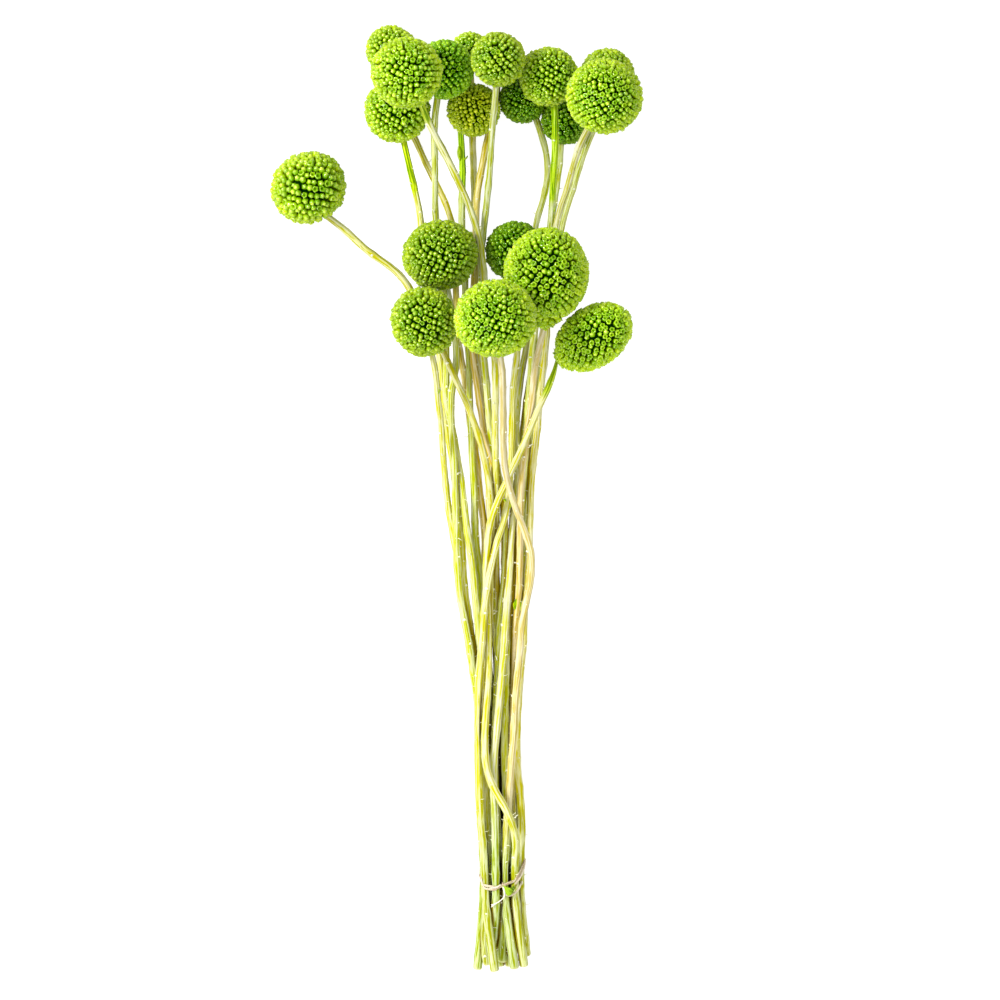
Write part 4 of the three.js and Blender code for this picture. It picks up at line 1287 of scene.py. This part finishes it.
def makeRibbonTree():
    take, out = newTree(
        "ribbon", "GeometryNodeTree",
        {"Route": "Geometry", "Width": 0.0015, "Thickness": 0.0003, "Sides": 16, "Raggedness": 0.0002,
         "Seed": 0.0, "Material": "Material"},
        {"Geometry": "Geometry"})
    curve = add("GeometryNodeMeshToCurve", {"Mesh": take["Route"]})
    curve = add("GeometryNodeSetCurveNormal", {
        "Curve": curve, "Normal": read("facing", "FLOAT_VECTOR")}, mode="FREE")
    ring, turn = circle(take["Sides"])
    fibres = timesPlus(cosine(times(sine(turn), 9.0)), 0.3, 1.0)
    thin = times(times(cosine(turn), fibres), times(take["Thickness"], 0.5))
    ring = move(ring, Position=vector(thin, times(sine(turn), times(take["Width"], 0.5))))
    skin = sweep(curve, ring, turn, 3.0, (0.6, 1.0, 260.0), 1.0, take["Seed"], take["Raggedness"])
    return endTree(out, skin, take["Material"])


def makeRaffia():
    tree = makeRibbonTree()
    material = makeRaffiaMaterial()
    strands = []
    for strand in raffiaFinish["strands"]:
        width, thickness, shift, wave = (size * mm for size in strand[:4])
        route = bandRoute(shift, wave, strand[4])
        strands.append((strandObject(route, True, raffiaFinish["strandWidths"]), width, thickness))
    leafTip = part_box("leaf_scrap")
    right, up, above = (size * mm for size in raffiaFinish["knot"])
    x, y = leafTip[0][0] + right, leafTip[1][1] + up
    knot = np.array([x, y, topAt(x, y) + above])
    turns = np.linspace(0, fullTurn, 14, endpoint=False)
    aside, long, deep = raffiaFinish["knotReach"]
    for lean in raffiaFinish["knotTurns"]:
        route = [knot + np.array([lean * math.cos(turn) + aside * lean, long * math.cos(turn),
                                  deep * math.sin(turn)]) * mm for turn in turns]
        strands.append((strandObject(np.array(route), True, [1, 0.9, 1]), 0.9 * mm, 0.28 * mm))
    for loose in looseEnds:
        places = [(x + right * mm, y + up * mm) for right, up, _, _ in loose["line"]]
        route = np.array([(*place, topAt(*place, raffiaFinish["span"]) + lift * mm)
                          for place, (_, _, lift, _) in zip(places, loose["line"])])
        route[:, 2] = smoothed(route[:, 2], 1)
        shares = [share for *_, share in loose["line"]]
        strand = strandObject(route, False, shares, (0.0, 0.0, 1.0), loose["stripped"])
        strands.append((strand, loose["width"] * mm, 0.3 * mm))
    meshes = []
    for place, (route, width, thickness) in enumerate(strands):
        meshes.append(grow(route, tree, raffiaFinish | {
            "width": width, "thickness": thickness, "seed": 2.3 * place, "material": material}))
        bpy.data.objects.remove(route)
    print("raffia made:", finishPiece("raffia", joinMeshes(meshes), ["tie"]), "triangles")


makeRaffia()


# the scrap of leaf at the knot
leafFinish = {
    # outline in mm seen from above, from the left tip of the scrap, as the solid has it
    "outline": [(0, 0), (1, -1.8), (1.5, -3.9), (2.3, -5.3), (3.8, -5.1), (4.8, -3.4), (6.3, -1.2),
                (7.1, 0.4), (5.2, -0.6), (3.6, -1.7), (1.7, -1.1)],
    "centre": (3.3, -2.4),
    "rings": (1.0, 0.8, 0.6, 0.4, 0.2),
    "perEdge": 3,
    "fold": 0.9 * mm,          # how much the middle stands over the sides
    "foldLine": (3.6, -2, 0.2),   # a place it runs through, in mm, and how it leans to the right
    "foldReach": 3.2,          # mm to each side
    "middle": 0.45,            # share of the fold that is at the height of the solid's underside
    "droop": 0.12 * mm,        # of the lower tip for each mm
    "droopBelow": -3,
    "thickness": 0.22 * mm,
}
# bright for the left side of the scrap, deep for the painted shade on its right side, edge for its browner
# far right, vein for its veins
leafColours = {
    "bright": (142, 178, 2),
    "deep": (84, 112, 4),
    "edge": (146, 128, 48),
    "vein": (176, 216, 60),
}


def makeLeafMaterial():
    material, surface = newMaterial("leaf", Specular_IOR_Level=0.2, Roughness=0.5)
    bright, deep, edge, vein = (sRgb(colour) for colour in leafColours.values())
    place = objectPlace()
    shift = timesPlus(minus(noise(place, 700.0, 3.0), 0.5), 0.5, attribute("across"))
    veins = add("ShaderNodeTexWave", {
        "Vector": place, "Scale": 420.0, "Distortion": 3.0, "Detail": 1.0}, "Fac",
        bands_direction="DIAGONAL")
    # painted shade: from bright green on the scrap's left side to deep green on its right; browner still at
    # the far right edge
    colour = blend(softRamp(shift, 0.4, 0.66), bright, deep)
    colour = blend(softRamp(shift, 0.74, 0.95), colour, edge)
    colour = blend(times(softRamp(veins, 0.8, 1.0), 0.4), colour, vein)
    feed(surface, {"Base Color": colour, "Normal": bump(veins, 0.5)})
    return material


def makeLeaf():
    solid = cornersOf(frame["nodes"]["leaf_scrap"].data)
    left = solid[np.argmin(solid[:, 0])]
    outline = np.array(leafFinish["outline"], dtype=float)
    middle = np.array(leafFinish["centre"])
    rim = []
    for start, end in zip(outline, np.roll(outline, -1, axis=0)):
        rim += [start + (end - start) * k / leafFinish["perEdge"] for k in range(leafFinish["perEdge"])]
    rim = np.array(rim)
    rim += 0.25 * (np.roll(rim, 1, axis=0) + np.roll(rim, -1, axis=0) - 2 * rim)
    flat = np.concatenate([middle + (rim - middle) * share for share in leafFinish["rings"]] + [[middle]])
    across = flat[:, 0] / outline[:, 0].max()
    # a fold runs up the middle, and the lower tip droops
    foldX, foldY, lean = leafFinish["foldLine"]
    aside = abs(flat[:, 0] - foldX - lean * (flat[:, 1] - foldY))
    ridge = 1 - np.clip(aside / leafFinish["foldReach"], 0, 1)
    height = leafFinish["fold"] * (ridge - leafFinish["middle"])
    height -= leafFinish["droop"] * np.clip(leafFinish["droopBelow"] - flat[:, 1], 0, 3)
    upper = np.column_stack([left[0] + flat[:, 0] * mm, left[1] + flat[:, 1] * mm,
                             solid[:, 2].min() + height])
    lower = upper - (0, 0, leafFinish["thickness"])
    count, rings, total = len(rim), len(leafFinish["rings"]), len(upper)
    faces = tubeFaces(rings, count) + fan((rings - 1) * count, count, total - 1)
    faces += [tuple(corner + total for corner in face[::-1]) for face in faces]
    faces += [((k + 1) % count, k, k + total, (k + 1) % count + total) for k in range(count)]
    made = meshObject("leafShape", np.concatenate([upper, lower]), faces)
    mesh = made.data
    bpy.data.objects.remove(made)
    setValues(mesh, "across", np.concatenate([across, across]))
    mesh.polygons.foreach_set("use_smooth", [True] * len(faces))
    mesh.materials.append(makeLeafMaterial())
    finishPiece("leaf", mesh, ["leaf_scrap"])
    print("leaf made")


makeLeaf()


# floor and light
studio = {
    "floor": (150, 150, 149),
    "floorCloud": (158, 158, 157),
    "floorGlow": 0.9,          # as seen straight on; it gives the bunch only a part of it
    "floorSpill": 0.34,
    "surround": 0.98,
    # name, power in watts, side of the lamp's square, place
    "lamps": [("key", 42.0, 0.55, (-1.45, 0.75, 1.5)), ("fill", 18.0, 1.4, (-0.7, -1.7, 1.3))],
}


def makeStudio():
    floor = meshObject("floor", [(-4, -4, 0), (4, -4, 0), (4, 4, 0), (-4, 4, 0)], [(0, 1, 2, 3)])
    material, surface = newMaterial(
        "floor", Roughness=0.8, Specular_IOR_Level=0.2, Emission_Strength=studio["floorGlow"])
    direct = add("ShaderNodeLightPath", None, "Is Camera Ray")
    spill = (*[studio["floorSpill"]] * 3, 1.0)
    cloud = noise(objectPlace(), 3.0)
    feed(surface, {"Emission Color": blend(direct, spill, (1.0, 1.0, 1.0, 1.0)),
                   "Base Color": blend(cloud, sRgb(studio["floor"]), sRgb(studio["floorCloud"]))})
    floor.data.materials.append(material)
    world = bpy.data.worlds.new("studio")
    world.use_nodes = True
    feed(world.node_tree.nodes["Background"], {"Color": (1, 1, 1, 1), "Strength": studio["surround"]})
    world.cycles_visibility.glossy = False   # only the lamps shine on the florets and the ribs
    bpy.context.scene.world = world
    for name, power, size, place in studio["lamps"]:
        data = bpy.data.lights.new(name, "AREA")
        data.energy = power
        data.size = size
        lamp = newObject(name, data)
        lamp.location = place
        lamp.rotation_euler = (-Vector(place)).to_track_quat("-Z", "Y").to_euler()
    bpy.context.scene.view_settings.view_transform = "Standard"


makeStudio()
print("studio made")
